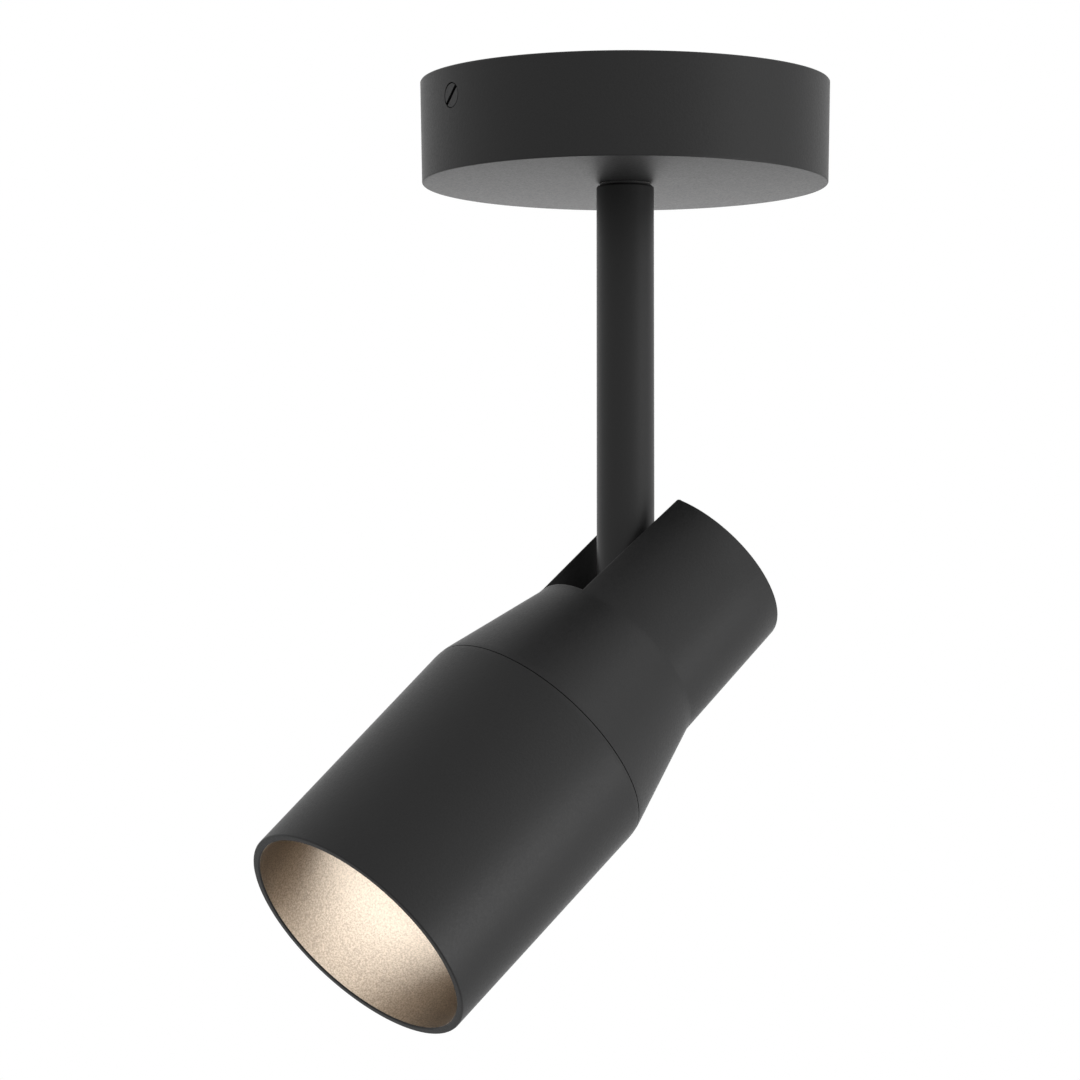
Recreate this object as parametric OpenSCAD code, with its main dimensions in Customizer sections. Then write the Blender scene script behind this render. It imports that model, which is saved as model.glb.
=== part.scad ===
// Adjustable ceiling spotlight: round canopy, rigid stem, slotted tilting head.
// Origin at the middle of the ceiling face, +Z up, the head points towards -Y and down.
// Stations on the head are distances ahead of the tilt hinge, towards the mouth.

/* [Canopy] */
// Diameter of the canopy at the ceiling
canopy_d = 100; // [90:1:140]
// Diameter of the canopy at its underside
canopy_foot_d = 99; // [88:0.5:138]
// Height of the canopy
canopy_h = 25; // [24:0.5:40]
// Side wall of the canopy
canopy_wall = 1.8; // [1.2:0.1:3]
// Floor of the canopy
canopy_floor = 2.5; // [2:0.1:4]
// Rounding of the canopy's lower outer edge
canopy_edge_r = 0.4; // [0.2:0.1:1]
// Rounding between the canopy's floor and wall, inside
canopy_inner_r = 1.5; // [0.5:0.1:3]

/* [Canopy screws] */
// Distance of the canopy screws below the ceiling
screw_drop = 7.2; // [6:0.1:9]
// Diameter of the screw's flush head
screw_head_d = 5.9; // [5:0.1:7]
// Diameter of the screw's thread
screw_shank_d = 4; // [3:0.5:4.5]
// Length of the screw under its head
screw_shank_l = 4.6; // [4:0.1:8]
// Width of the driver slot
screw_slot_w = 0.8; // [0.6:0.1:1.2]
// Depth of the driver slot
screw_slot_h = 1; // [0.6:0.1:1.4]

/* [Ceiling bracket] */
// Thickness of the bracket plate
bracket_t = 1.5; // [1:0.1:2.5]
// Width of the bracket's main bar
bracket_w = 26; // [22:1:30]
// Distance between the two ceiling screw slots
ceiling_pitch = 60; // [50:1:64]
// Length of a ceiling screw slot, end to end
ceiling_slot_l = 16; // [8:1:18]
// Width of a ceiling screw slot
ceiling_slot_w = 4.5; // [3.5:0.1:5.5]
// Width of the bracket's ears
ear_w = 12; // [10:0.5:14]
// Height of the bracket's ears
ear_h = 12.5; // [12:0.5:14]
// Gap between an ear and the canopy's wall
ear_gap = 0.8; // [0.6:0.1:1.5]
// Length of the thread collar behind an ear
ear_collar_l = 2; // [1:0.1:3]
// Diameter of the thread collar behind an ear
ear_collar_d = 6.6; // [6:0.1:9]
// Width of the wing that carries the terminal block
wing_w = 34; // [32:1:40]
// Reach of the terminal wing from the axis
wing_reach = 38; // [37:1:42]
// Width of the wing that carries the earth screw
earth_wing_w = 14; // [12:1:20]
// Reach of the earth wing from the axis
earth_wing_reach = 25; // [24:1:32]

/* [Cable inlet] */
// Bore of the grommet for the supply cable
inlet_d = 8; // [6:0.5:9]
// Wall of the grommet inside the plate
grommet_wall = 2; // [1.2:0.1:2.5]
// Diameter of the grommet's flange
grommet_flange_d = 16; // [15:0.5:18]
// Thickness of the grommet's flange
grommet_flange_t = 1.5; // [1:0.1:1.6]

/* [Terminal block] */
// Number of poles
poles = 3; // [2:1:3]
// Distance between poles
pole_pitch = 10; // [8:0.5:10]
// Width of the block across the wires
block_w = 18; // [16:0.5:19]
// Height of the block
block_h = 13; // [12:0.5:14]
// Material beside the outer poles
block_side = 6; // [5:0.5:6]
// Distance from the axis to the block
block_start = 17; // [16.5:0.5:18]
// Outer diameter of a brass sleeve
sleeve_d = 5.6; // [5:0.1:6]
// Wire bore of a brass sleeve
sleeve_bore = 3.2; // [2.5:0.1:3.4]
// Distance of a sleeve below the plate
sleeve_drop = 7.5; // [7:0.1:8]
// Diameter of a clamp screw
clamp_d = 3; // [2.5:0.1:3.2]
// Distance between the two clamp screws of a pole
clamp_pitch = 9; // [8:0.5:10]
// Diameter of the screw that holds the block
block_screw_d = 3; // [2.5:0.1:3.5]
// Depth of the well for the block's screw
block_well = 2; // [1.5:0.1:3]

/* [Earth] */
// Distance of the earth screw from the axis
earth_at = 18; // [17:0.5:20]
// Diameter of the earth screw's thread
earth_screw_d = 4; // [3:0.5:4]
// Thickness of the ring tag
tag_t = 0.8; // [0.5:0.1:1]
// Length of the tag's tongue between ring and crimp
tag_tongue_l = 4; // [3:0.1:5]
// Length of the tag's crimp
tag_crimp_l = 4.8; // [4:0.1:6]

/* [Leads] */
// Diameter of a single lead
lead_d = 1.8; // [1.4:0.1:2]
// Diameter of the sheathed cable in the stem
cable_d = 5; // [4:0.1:5]
// Bend radius of a lead at the stem
lead_bend_r = 3; // [2.5:0.1:4]

/* [Swivel] */
// Outer diameter of the hollow nipple
nipple_d = 10; // [9:0.5:10]
// Bore of the nipple
nipple_bore = 7; // [6:0.1:7.4]
// Length of the nipple inside the stem
nipple_grip = 12; // [10:0.5:16]
// Wall of the swivel bush inside the canopy's floor
bush_wall = 1; // [0.6:0.1:1.5]
// Diameter of the swivel bush's flange
bush_flange_d = 18; // [16:0.5:19]
// Thickness of the swivel bush's flange
bush_flange_t = 1; // [0.6:0.1:1.5]
// Thickness of the thrust washer that shows as a dark gap
thrust_t = 0.5; // [0.3:0.1:1]
// Diameter of the thrust washer
thrust_d = 12.4; // [11.5:0.1:12.6]
// Thickness of the stop tab
tab_t = 1; // [0.8:0.1:1.2]
// Diameter of the stop tab's ring
tab_d = 18; // [16:0.5:19]
// Width of the stop lug
lug_w = 3.4; // [2:0.1:3.6]
// Radius on which the stop pin stands
stop_r = 13; // [12.5:0.1:14]
// Diameter of the stop pin
stop_d = 2.5; // [2:0.1:2.6]
// Height of the swivel's disc spring
swivel_spring_h = 1.3; // [1:0.1:1.6]
// Thickness of the swivel's top washer
top_washer_t = 1; // [0.6:0.1:1.2]
// Diameter of the swivel's spring and top washer
top_washer_d = 16.8; // [15:0.1:18]
// Height of the swivel nut
nut_h = 3.6; // [3:0.1:4]
// Width of the swivel nut across its flats
nut_af = 15; // [14:0.5:17]
// Thread that stands out above the nut
nipple_proud = 1.4; // [1:0.1:2]

/* [Stem] */
// Diameter of the stem
stem_d = 14; // [12:0.5:14]
// Wall of the stem
stem_wall = 1.5; // [1:0.1:1.6]
// Distance of the tilt hinge below the ceiling
hinge_drop = 138; // [100:1:400]
// Broken edge at the stem's top
stem_edge = 0.6; // [0.3:0.1:1]

/* [Tilt hinge] */
// Tilt of the head from straight down, as photographed
tilt = 47; // [0:1:83]
// Diameter of the knuckle's barrel
knuckle_d = 15; // [14.2:0.1:15.6]
// Width of the knuckle
knuckle_w = 16.6; // [16:0.1:17]
// Length of the knuckle's neck above the hinge
knuckle_neck = 11; // [10:0.5:14]
// Length of the knuckle's spigot inside the stem
knuckle_grip = 14; // [10:0.5:20]
// Diameter of a pivot pin
pin_d = 6; // [5:0.1:6.4]
// Depth of a pivot pin in the housing
pin_grip = 2.8; // [2:0.1:2.9]
// Distance between the inner ends of the pivot pins
pin_gap = 6.2; // [5.8:0.1:7]
// Thickness of a friction washer
friction_t = 0.5; // [0.3:0.1:0.5]
// Distance of the hinge's washers and springs inside the knuckle's edge
hinge_inset = 0.5; // [0.4:0.1:1]
// Height of a hinge disc spring
hinge_spring_h = 0.45; // [0.3:0.05:0.45]
// Diameter of a grub screw
grub_d = 3; // [2:0.5:3]

/* [Head] */
// Length of the housing behind the hinge
rear_back = 30; // [28:0.5:36]
// Diameter of the housing at its rear end
rear_end_d = 47.4; // [46:0.1:50]
// Diameter of the housing where the cone starts
rear_front_d = 48.6; // [47:0.1:52]
// Station where the cone starts
cone_start = 6; // [5:0.1:8]
// Station of the seam between housing and barrel
seam_at = 35.6; // [33:0.1:40]
// Wall of the housing
head_wall = 2.4; // [2:0.1:2.6]
// Rear wall of the housing
rear_wall = 3; // [2:0.1:4]
// Rounding of the rear edge
rear_edge_r = 0.5; // [0.2:0.1:1]
// Radius of the rounded shoulder at the seam
shoulder_r = 15; // [8:1:25]

/* [Stem slot] */
// Width of the stem slot at its front end
slot_front_w = 19.6; // [19.4:0.1:20]
// Width of the stem slot at the rear face
slot_rear_w = 22.4; // [21:0.1:23]
// Station of the slot's front end at the surface
slot_front_at = 4.6; // [4.4:0.1:5]
// Station of the slot's front end at the hinge line
slot_deep_at = 8.6; // [8.4:0.1:9]
// Thickness of the cheeks beside the slot
cheek_t = 3; // [2.8:0.1:3.4]
// Distance between the hinge pads on the cheeks
pad_gap = 18.6; // [18.6:0.1:19]
// Diameter of the hinge pads
pad_d = 14.8; // [13:0.1:15]

/* [Barrel] */
// Outer diameter of the barrel
barrel_d = 63.4; // [62:0.1:68]
// Station of the mouth
mouth_at = 103.2; // [100:0.1:130]
// Wall of the barrel
barrel_wall = 1.2; // [1:0.1:1.3]
// Diameter of the mouth inside the rim
mouth_d = 59.6; // [58:0.1:60]
// Depth of the rim's inner lip
lip_t = 0.35; // [0.2:0.05:1]
// Rounding of the rim's outer edge
rim_edge_r = 0.4; // [0.2:0.1:0.6]
// Open seam between housing and barrel
seam_gap = 0.15; // [0.1:0.05:0.3]
// Length of the housing's spigot inside the barrel
spigot_l = 12; // [11:0.5:14]
// Wall of the spigot
spigot_wall = 2.85; // [2.6:0.05:3]
// Thickness of the champagne liner
liner_t = 0.7; // [0.5:0.1:0.7]
// Thickness of the O-ring on the spigot
oring_t = 1.8; // [1.4:0.1:2]
// Distance of the O-ring from the seam
oring_at = 6.5; // [5:0.1:8]

/* [Lampholder] */
// Thickness of the lampholder bracket
plate_t = 1; // [0.8:0.1:1.2]
// Diameter of the lampholder bracket
plate_d = 40; // [39:0.5:42]
// Station of the bracket's rear face
plate_at = 11; // [11:0.1:11.5]
// Diameter of the lampholder
holder_d = 26; // [25:0.5:27]
// Length of the lampholder
holder_l = 13; // [12:0.5:14]
// Distance between the two lamp pins
lamp_pin_pitch = 10; // [9.8:0.1:10.2]
// Turn that releases the lamp
lamp_turn = 20; // [15:1:25]
// Depth of the lampholder's well for the cable
cable_well = 4; // [3:0.1:5]
// Diameter of the small machine screws
small_screw_d = 3; // [2.5:0.5:3]
// Diameter of a small screw's head
small_head_d = 5.7; // [5:0.1:6]
// Height of a small screw's head
small_head_h = 2.1; // [1.6:0.1:2.4]
// Thread of a bracket screw inside the housing
small_grip = 3.4; // [2.5:0.1:4]
// Distance of the two upper bracket screws from the middle line
upper_screw_x = 8; // [7.5:0.1:9]
// Distance of the two upper bracket screws above the head's axis
upper_screw_y = 14.8; // [14:0.1:15]

/* [Lamp] */
// Diameter of the lamp
lamp_d = 50; // [48:0.5:50]
// Length of the lamp without its pins
lamp_l = 46.7; // [45:0.1:50]
// Wall of the lamp's bulb
lamp_wall = 2; // [1.5:0.1:2.5]
// Length of a lamp pin
lamp_pin_l = 7.2; // [6:0.1:7.2]
// Diameter of a lamp pin
lamp_pin_d = 3.1; // [2.8:0.1:3.2]
// Diameter of a lamp pin's head
lamp_pin_head_d = 5; // [4.5:0.1:5]
// Diameter of the lamp's base
lamp_base_d = 24; // [22:0.5:25]
// Width of the lamp's base across its flat sides
lamp_base_w = 17; // [15:0.5:20]
// Length of the lamp's base
lamp_base_l = 9.4; // [8:0.1:11]
// Length of the lamp's straight rim
lamp_rim_l = 10.7; // [8:0.1:14]
// Width of the lamp's rim round its front glass
lens_rim = 0.9; // [0.7:0.1:2]
// Thickness of the lamp's front glass
lens_t = 2.3; // [1.8:0.1:3]
// Rise of the front glass in its middle
lens_dome = 0.9; // [0.5:0.1:1.2]

/* [Hidden] */
$fn = 96;

// Overrun that carries every cut clear of its faces
over = 1;
// Running clearance on a radius, and the play between faces that slide
run_c = 0.05;
// Clearance of a thread or a seated piece within one body
seat_c = 0.03;
// Clearance of a hole round a loose screw or cable
loose_c = 0.1;
// Distance between pieces that never meet
clear_c = 0.4;
// Share of a plate's thickness that a screw's end reaches through
bite_share = 0.8;
// Thickness of a disc spring as a share of its height
spring_t_share = 0.6;
// Width of a pan head's slot as a share of the thread's diameter
slot_share = 0.2;
// Radius of a pan head as a share of the thread's diameter
pan_share = 0.95;
// Steps of a rounded edge
arc_steps = 6;
// Sides of a wire and steps of one of its bends
wire_sides = 20;
bend_steps = 8;

canopy_r = canopy_d / 2;
foot_r = canopy_foot_d / 2;
floor_z = canopy_floor - canopy_h;
// Canopy's outer radius at the height of its screws
screw_wall_r = canopy_r - (canopy_r - foot_r) * screw_drop / canopy_h;
screw_hole_r = screw_head_d / 2 + loose_c;
// A flat head in a round wall stands back by the rise of the arc over its width
screw_face = sqrt(pow(screw_wall_r, 2) - pow(screw_head_d / 2, 2));
// The ears clear the wall at its narrowest beside them, and a drill starts outside its widest
ear_face = min(canopy_r, canopy_r - (canopy_r - foot_r) * ear_h / canopy_h) - canopy_wall - ear_gap;
drill_start = max(canopy_r, foot_r) + over;
screw_head_h = screw_face - ear_face;

grommet_r = inlet_d / 2 + grommet_wall;
block_l = pole_pitch * (poles - 1) + 2 * block_side;
block_mid = block_start + block_w / 2;
sleeve_z = -bracket_t - sleeve_drop;
block_foot = -bracket_t - block_h;
clamp_head_h = clamp_d / 2;
clamp_well_d = clamp_d + clear_c;

nipple_r = nipple_d / 2;
bush_r = nipple_r + run_c + bush_wall;
bush_top = floor_z + bush_flange_t;
tab_z = bush_top + run_c;
spring_z = tab_z + tab_t;
top_washer_z = spring_z + swivel_spring_h;
nut_z = top_washer_z + top_washer_t;
nipple_top = nut_z + nut_h + nipple_proud;
stem_top = -canopy_h - run_c - thrust_t;
stem_r = stem_d / 2;
stem_bore_r = stem_r - stem_wall;
stem_foot = -hinge_drop + knuckle_neck;
cable_r = cable_d / 2;
lead_r = lead_d / 2;
pole_y = pole_pitch * (poles - 1) / 2;
// Supply leads leave the axis at this angle and come down side by side on this radius
knee_x = block_start - lead_bend_r;
lead_fan = atan2(pole_y, knee_x);
lead_ring = (lead_r + seat_c) / sin(lead_fan);
// Tangent length of a supply lead's second bend
knee_t = lead_bend_r * tan(lead_fan / 2);
// Top of the stem cable, just inside the nipple
cable_top = nipple_top - lead_r;
// Foot of the stem cable, clear of the head's cable at every tilt: the real one flexes there
cable_foot = cable_r + clear_c - hinge_drop;
earth_lead_z = -bracket_t - grommet_flange_t - lead_d;
tag_crimp_r = lead_r + tag_t;
tag_ring_r = earth_screw_d;
earth_head_h = earth_screw_d / 2 + seat_c;

rear_end_r = rear_end_d / 2;
rear_front_r = rear_front_d / 2;
barrel_r = barrel_d / 2;
barrel_bore_r = barrel_r - barrel_wall;
spigot_r = barrel_bore_r - run_c;
spigot_bore_r = spigot_r - spigot_wall;
cone_slope = (barrel_r - rear_front_r) / (seam_at - cone_start);
cone_angle = atan(cone_slope);
// Tangent length of the shoulder's arc on the cone and on the barrel
shoulder_t = shoulder_r * tan(cone_angle / 2);
seam_angle = asin(shoulder_t / shoulder_r);
shell_bore_r = rear_end_r - head_wall;
// The round bottom of the trough is this much wider than its flat walls
trough_bulge = 0.4;
// The pocket round the knuckle is this much deeper than the slot's front end
pocket_step = 0.2;
// Station where the cone's inside reaches the spigot's bore
bore_meet = cone_start + (spigot_bore_r + head_wall - rear_front_r) / cone_slope;
plate_front = plate_at + plate_t;
holder_front = plate_front + holder_l;
lamp_base = holder_front + run_c;
lamp_face = lamp_base + lamp_l;
lamp_r = lamp_d / 2;
knuckle_r = knuckle_d / 2;
pin_r = pin_d / 2;
pin_end = pad_gap / 2 + pin_grip;
pin_hole_end = pin_end + clear_c;
// Half the width of the cut that lets the head's cable swing in the knuckle
swing_half = cable_r + clear_c;
boss_r = pin_r + head_wall;
boss_end = pin_hole_end + head_wall;
// Bracket screws: two above the head's axis on the slot's side, one below it
small_head_r = small_head_d / 2;
lower_screw_y = holder_d / 2 + small_head_r + clear_c;
lower_boss_r = small_screw_d / 2 + head_wall;
bracket_screw_l = plate_t + small_grip;
holder_screw_y = holder_d / 2 - small_head_r - clear_c;
kidney_r = lamp_pin_head_d / 2 + clear_c;
kidney_depth = lamp_pin_l + 2 * clear_c;
// The contacts stand just behind the ends of the lamp's pins
contact_t = kidney_depth - lamp_pin_l - run_c;
lamp_base_r = lamp_base_d / 2;
lens_r = lamp_r - lens_rim;
liner_floor = lamp_face - lens_dome - 2 * liner_t;
liner_hole_r = lamp_r + clear_c;
liner_r = barrel_bore_r - seat_c;
oring_r = spigot_r + seat_c - oring_t / 2;
groove_r = oring_r - oring_t / 2 - run_c;
groove_w = oring_t + 2 * run_c;

// Points of an arc about c from angle a0 to a1
function arc(c, r, a0, a1) =
    [for (i = [0:arc_steps]) let (a = a0 + (a1 - a0) * i / arc_steps)
        [c[0] + r * cos(a), c[1] + r * sin(a)]];

// The head's own frame: origin on the hinge, +Z towards the rear, slot towards -Y
module on_head() {
    translate([0, 0, -hinge_drop]) rotate([-tilt, 0, 0]) children();
}

// A cylinder along X from x0 to x1
module x_rod(r, x0, x1) {
    translate([x0, 0, 0]) rotate([0, 90, 0]) cylinder(r = r, h = x1 - x0);
}

// A flat ring
module ring(r, bore, h) {
    difference() {
        cylinder(r = r, h = h);
        translate([0, 0, -over]) cylinder(r = bore, h = h + 2 * over);
    }
}

// A coned disc spring between two faces h apart, t thick
module disc_spring(r, bore, h, t) {
    rotate_extrude() polygon([[bore, h - t], [r, 0], [r, t], [bore, h]]);
}

// A pan-head screw whose seat is at z = 0, its head above and its thread below
module pan_screw(d, head_r, head_h, l) {
    difference() {
        union() {
            translate([0, 0, -l]) cylinder(d = d, h = l);
            cylinder(r = head_r, h = head_h);
        }
        translate([-head_r - over, -d * slot_share / 2, head_h / 2])
            cube([2 * (head_r + over), d * slot_share, head_h]);
    }
}

// A slot outline of width w and end-to-end length l along Y
module slot_2d(w, l) {
    square([w, l - w], center = true);
    for (s = [-1, 1]) translate([0, s * (l - w) / 2]) circle(d = w);
}

// A wire of radius r through stations [x, y, z, heading, pitch]
module wire(stations, r) {
    n = wire_sides;
    m = len(stations);
    points = [for (q = stations) for (k = [0:n - 1]) let (t = 360 * k / n)
        [q[0] - r * (cos(t) * sin(q[3]) + sin(t) * sin(q[4]) * cos(q[3])),
            q[1] + r * (cos(t) * cos(q[3]) - sin(t) * sin(q[4]) * sin(q[3])),
            q[2] + r * sin(t) * cos(q[4])]];
    sides = [for (i = [0:m - 2]) for (k = [0:n - 1]) let (k1 = (k + 1) % n)
        for (f = [0, 1]) f == 0
            ? [i * n + k, i * n + k1, i * n + n + k]
            : [i * n + k1, i * n + n + k1, i * n + n + k]];
    ends = [[for (k = [n - 1:-1:0]) k], [for (k = [0:n - 1]) (m - 1) * n + k]];
    polyhedron(points, concat(sides, ends));
}

// Stations of a lead from the stem's cable, up, out at the heading and to its reach at z
function lead_stations(heading, reach, z) =
    let (u = [cos(heading), sin(heading)], bend_x = lead_ring + lead_bend_r)
    concat([[lead_ring * u[0], lead_ring * u[1], cable_top + run_c, heading, 90]],
        [for (i = [0:bend_steps]) let (e = 90 - 90 * i / bend_steps)
            let (d = bend_x - lead_bend_r * sin(e))
            [d * u[0], d * u[1], z - lead_bend_r + lead_bend_r * cos(e), heading, e]],
        [[reach * u[0], reach * u[1], z, heading, 0]]);

module x_rod_at(r, x0, x1, z) {
    translate([0, 0, z]) x_rod(r, x0, x1);
}

module ceiling_bracket() {
    color("silver") difference() {
        union() {
            translate([0, 0, -bracket_t]) linear_extrude(bracket_t) intersection() {
                union() {
                    square([bracket_w, 2 * ear_face], center = true);
                    translate([0, -wing_w / 2]) square([wing_reach, wing_w]);
                    translate([-earth_wing_reach, -earth_wing_w / 2])
                        square([earth_wing_reach, earth_wing_w]);
                }
                circle(r = ear_face);
            }
            for (a = [0, 180]) rotate([0, 0, a]) {
                translate([-ear_w / 2, -ear_face, -ear_h]) cube([ear_w, bracket_t, ear_h]);
                translate([0, -ear_face, -screw_drop]) rotate([-90, 0, 0])
                    cylinder(d = ear_collar_d, h = bracket_t + ear_collar_l);
            }
        }
        translate([0, 0, -bracket_t - over]) linear_extrude(bracket_t + 2 * over)
            for (s = [-1, 1]) translate([0, s * ceiling_pitch / 2])
                slot_2d(ceiling_slot_w, ceiling_slot_l);
        translate([0, 0, -bracket_t - over]) {
            cylinder(r = grommet_r + seat_c, h = bracket_t + 2 * over);
            translate([-earth_at, 0, 0])
                cylinder(d = earth_screw_d + 2 * seat_c, h = bracket_t + 2 * over);
            translate([block_mid, pole_pitch / 2, 0])
                cylinder(d = block_screw_d + 2 * seat_c, h = bracket_t + 2 * over);
        }
        for (a = [0, 180]) rotate([0, 0, a]) translate([0, -ear_face - over, -screw_drop])
            rotate([-90, 0, 0])
                cylinder(d = screw_shank_d + 2 * seat_c, h = bracket_t + ear_collar_l + 2 * over);
    }
}

module cable_grommet() {
    color("dimgray") difference() {
        union() {
            translate([0, 0, -bracket_t]) cylinder(r = grommet_r, h = bracket_t);
            translate([0, 0, -bracket_t - grommet_flange_t])
                cylinder(d = grommet_flange_d, h = grommet_flange_t);
        }
        translate([0, 0, -bracket_t - grommet_flange_t - over])
            cylinder(d = inlet_d, h = bracket_t + grommet_flange_t + 2 * over);
    }
}

module canopy_cup() {
    outer_c = [foot_r - canopy_edge_r, canopy_edge_r - canopy_h];
    inner_c = [foot_r - canopy_wall - canopy_inner_r, floor_z + canopy_inner_r];
    color([0.1, 0.1, 0.1]) difference() {
        rotate_extrude() polygon(concat(
            [[bush_r + seat_c, floor_z], [bush_r + seat_c, -canopy_h]],
            arc(outer_c, canopy_edge_r, -90, 0),
            [[canopy_r, 0], [canopy_r - canopy_wall, 0]],
            arc(inner_c, canopy_inner_r, 0, -90)));
        for (a = [0, 180]) rotate([0, 0, a])
            translate([0, -drill_start, -screw_drop]) rotate([-90, 0, 0])
                cylinder(r = screw_hole_r, h = drill_start - ear_face);
        translate([0, stop_r, floor_z - canopy_floor / 2])
            cylinder(d = stop_d + 2 * seat_c, h = canopy_floor);
    }
}

module canopy_screws() {
    color([0.12, 0.12, 0.12]) for (a = [0, 180]) rotate([0, 0, a])
        translate([0, -screw_face, -screw_drop]) rotate([-90, 0, 0]) difference() {
            union() {
                cylinder(d = screw_head_d, h = screw_head_h);
                cylinder(d = screw_shank_d, h = screw_head_h + screw_shank_l);
            }
            rotate([0, 0, -45]) translate([-screw_head_d, -screw_slot_w / 2, -screw_slot_h])
                cube([2 * screw_head_d, screw_slot_w, 2 * screw_slot_h]);
        }
}

// Runs its children once for every pole, at the pole's place along Y
module each_pole() {
    for (i = [0:poles - 1]) translate([0, (i - (poles - 1) / 2) * pole_pitch, 0]) children();
}

module terminal_block() {
    color("ivory") difference() {
        translate([block_start, -block_l / 2, block_foot]) cube([block_w, block_l, block_h]);
        each_pole() {
            x_rod_at(sleeve_d / 2 + seat_c, block_start - over, block_start + block_w + over, sleeve_z);
            for (s = [-1, 1]) translate([block_mid + s * clamp_pitch / 2, 0, block_foot - over])
                cylinder(d = clamp_well_d, h = sleeve_z - block_foot + over);
        }
        translate([block_mid, pole_pitch / 2, block_foot - over]) {
            cylinder(d = block_screw_d + 2 * seat_c, h = block_h + 2 * over);
            cylinder(d = 2 * block_screw_d + 2 * seat_c, h = block_well + over);
        }
    }
}

module terminal_sleeves() {
    color("goldenrod") each_pole() difference() {
        x_rod_at(sleeve_d / 2, block_start + run_c, block_start + block_w - run_c, sleeve_z);
        x_rod_at(sleeve_bore / 2, block_start - over, block_start + block_w + over, sleeve_z);
        for (s = [-1, 1]) translate([block_mid + s * clamp_pitch / 2, 0, sleeve_z - sleeve_d])
            cylinder(d = clamp_d + 2 * seat_c, h = sleeve_d);
    }
}

module terminal_screws() {
    color("silver") each_pole() for (s = [-1, 1])
        translate([block_mid + s * clamp_pitch / 2, 0, sleeve_z - sleeve_d / 2 - clamp_head_h])
            rotate([180, 0, 0]) pan_screw(clamp_d, clamp_d / 2 + loose_c, clamp_head_h,
                clamp_head_h + sleeve_d / 2 - lead_r - seat_c);
}

module block_screw() {
    color("silver") translate([block_mid, pole_pitch / 2, block_foot + block_well])
        rotate([180, 0, 0]) pan_screw(block_screw_d, block_screw_d, block_screw_d / 2,
            block_h - block_well + bracket_t * bite_share);
}

module earth_screw() {
    color("goldenrod") translate([-earth_at, 0, -bracket_t - tag_t]) rotate([180, 0, 0])
        pan_screw(earth_screw_d, earth_screw_d * pan_share, earth_head_h,
            tag_t + bracket_t * bite_share);
}

module earth_tag() {
    crimp_end = tag_ring_r + tag_tongue_l - earth_at;
    tongue_w = 2 * tag_crimp_r;
    color("lightgray") difference() {
        union() {
            translate([-earth_at, 0, -bracket_t - tag_t]) cylinder(r = tag_ring_r, h = tag_t);
            translate([-earth_at, -tongue_w / 2, -bracket_t - tag_t])
                cube([crimp_end + earth_at, tongue_w, tag_t]);
            translate([crimp_end - tag_t, -tongue_w / 2, earth_lead_z])
                cube([tag_t, tongue_w, -bracket_t - earth_lead_z]);
            x_rod_at(tag_crimp_r, crimp_end - tag_t, crimp_end + tag_crimp_l, earth_lead_z);
        }
        translate([-earth_at, 0, -bracket_t - tag_t - over])
            cylinder(d = earth_screw_d + 2 * seat_c, h = tag_t + 2 * over);
        x_rod_at(lead_r + seat_c, crimp_end, crimp_end + tag_crimp_l + over, earth_lead_z);
    }
}

// A supply lead from the stem's cable into the outer pole on the +Y side
module supply_lead() {
    reach = pole_y / sin(lead_fan) - knee_t;
    centre = [knee_x + knee_t, pole_y - lead_bend_r];
    wire(concat(lead_stations(lead_fan, reach, sleeve_z),
        [for (i = [1:bend_steps]) let (a = lead_fan * (1 - i / bend_steps))
            [centre[0] - lead_bend_r * sin(a), centre[1] + lead_bend_r * cos(a), sleeve_z, a, 0]],
        [[block_mid + clamp_pitch / 2, pole_y, sleeve_z, 0, 0]]), lead_r);
}

module line_lead() {
    color("saddlebrown") mirror([0, 1, 0]) supply_lead();
}

module neutral_lead() {
    color("royalblue") supply_lead();
}

module earth_lead() {
    reach = earth_at - tag_ring_r - tag_tongue_l - seat_c;
    color("yellowgreen") wire(lead_stations(180, reach, earth_lead_z), lead_r);
}

module swivel_bush() {
    color("whitesmoke") {
        translate([0, 0, -canopy_h]) ring(bush_r, nipple_r + run_c, canopy_floor);
        translate([0, 0, floor_z]) ring(bush_flange_d / 2, nipple_r + run_c, bush_flange_t);
    }
}

module stop_pin() {
    color("silver") translate([0, stop_r, floor_z - canopy_floor / 2])
        cylinder(d = stop_d, h = tab_z + tab_t - floor_z + canopy_floor / 2);
}

module thrust_washer() {
    color([0.05, 0.05, 0.05]) translate([0, 0, stem_top])
        ring(thrust_d / 2, nipple_r + seat_c, thrust_t);
}

module stem_tube() {
    thread_foot = stem_top - nipple_grip - stem_wall;
    color([0.1, 0.1, 0.1]) rotate_extrude() polygon([
        [nipple_r + seat_c, stem_top], [stem_r - stem_edge, stem_top],
        [stem_r, stem_top - stem_edge], [stem_r, stem_foot],
        [stem_bore_r, stem_foot], [stem_bore_r, thread_foot], [nipple_r + seat_c, thread_foot]]);
}

module stem_nipple() {
    color("goldenrod") translate([0, 0, stem_top - nipple_grip])
        ring(nipple_r, nipple_bore / 2, nipple_top - stem_top + nipple_grip);
}

module stop_tab() {
    lug_l = stop_r + stop_d / 2;
    color("silver") translate([0, 0, tab_z]) linear_extrude(tab_t) difference() {
        union() {
            circle(d = tab_d);
            translate([-lug_w / 2, -lug_l]) square([lug_w, lug_l]);
        }
        circle(r = nipple_r + seat_c);
    }
}

module swivel_spring() {
    color("gray") translate([0, 0, spring_z])
        disc_spring(top_washer_d / 2, nipple_r + seat_c, swivel_spring_h,
            swivel_spring_h * spring_t_share);
}

module top_washer() {
    color("silver") translate([0, 0, top_washer_z])
        ring(top_washer_d / 2, nipple_r + seat_c, top_washer_t);
}

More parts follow.
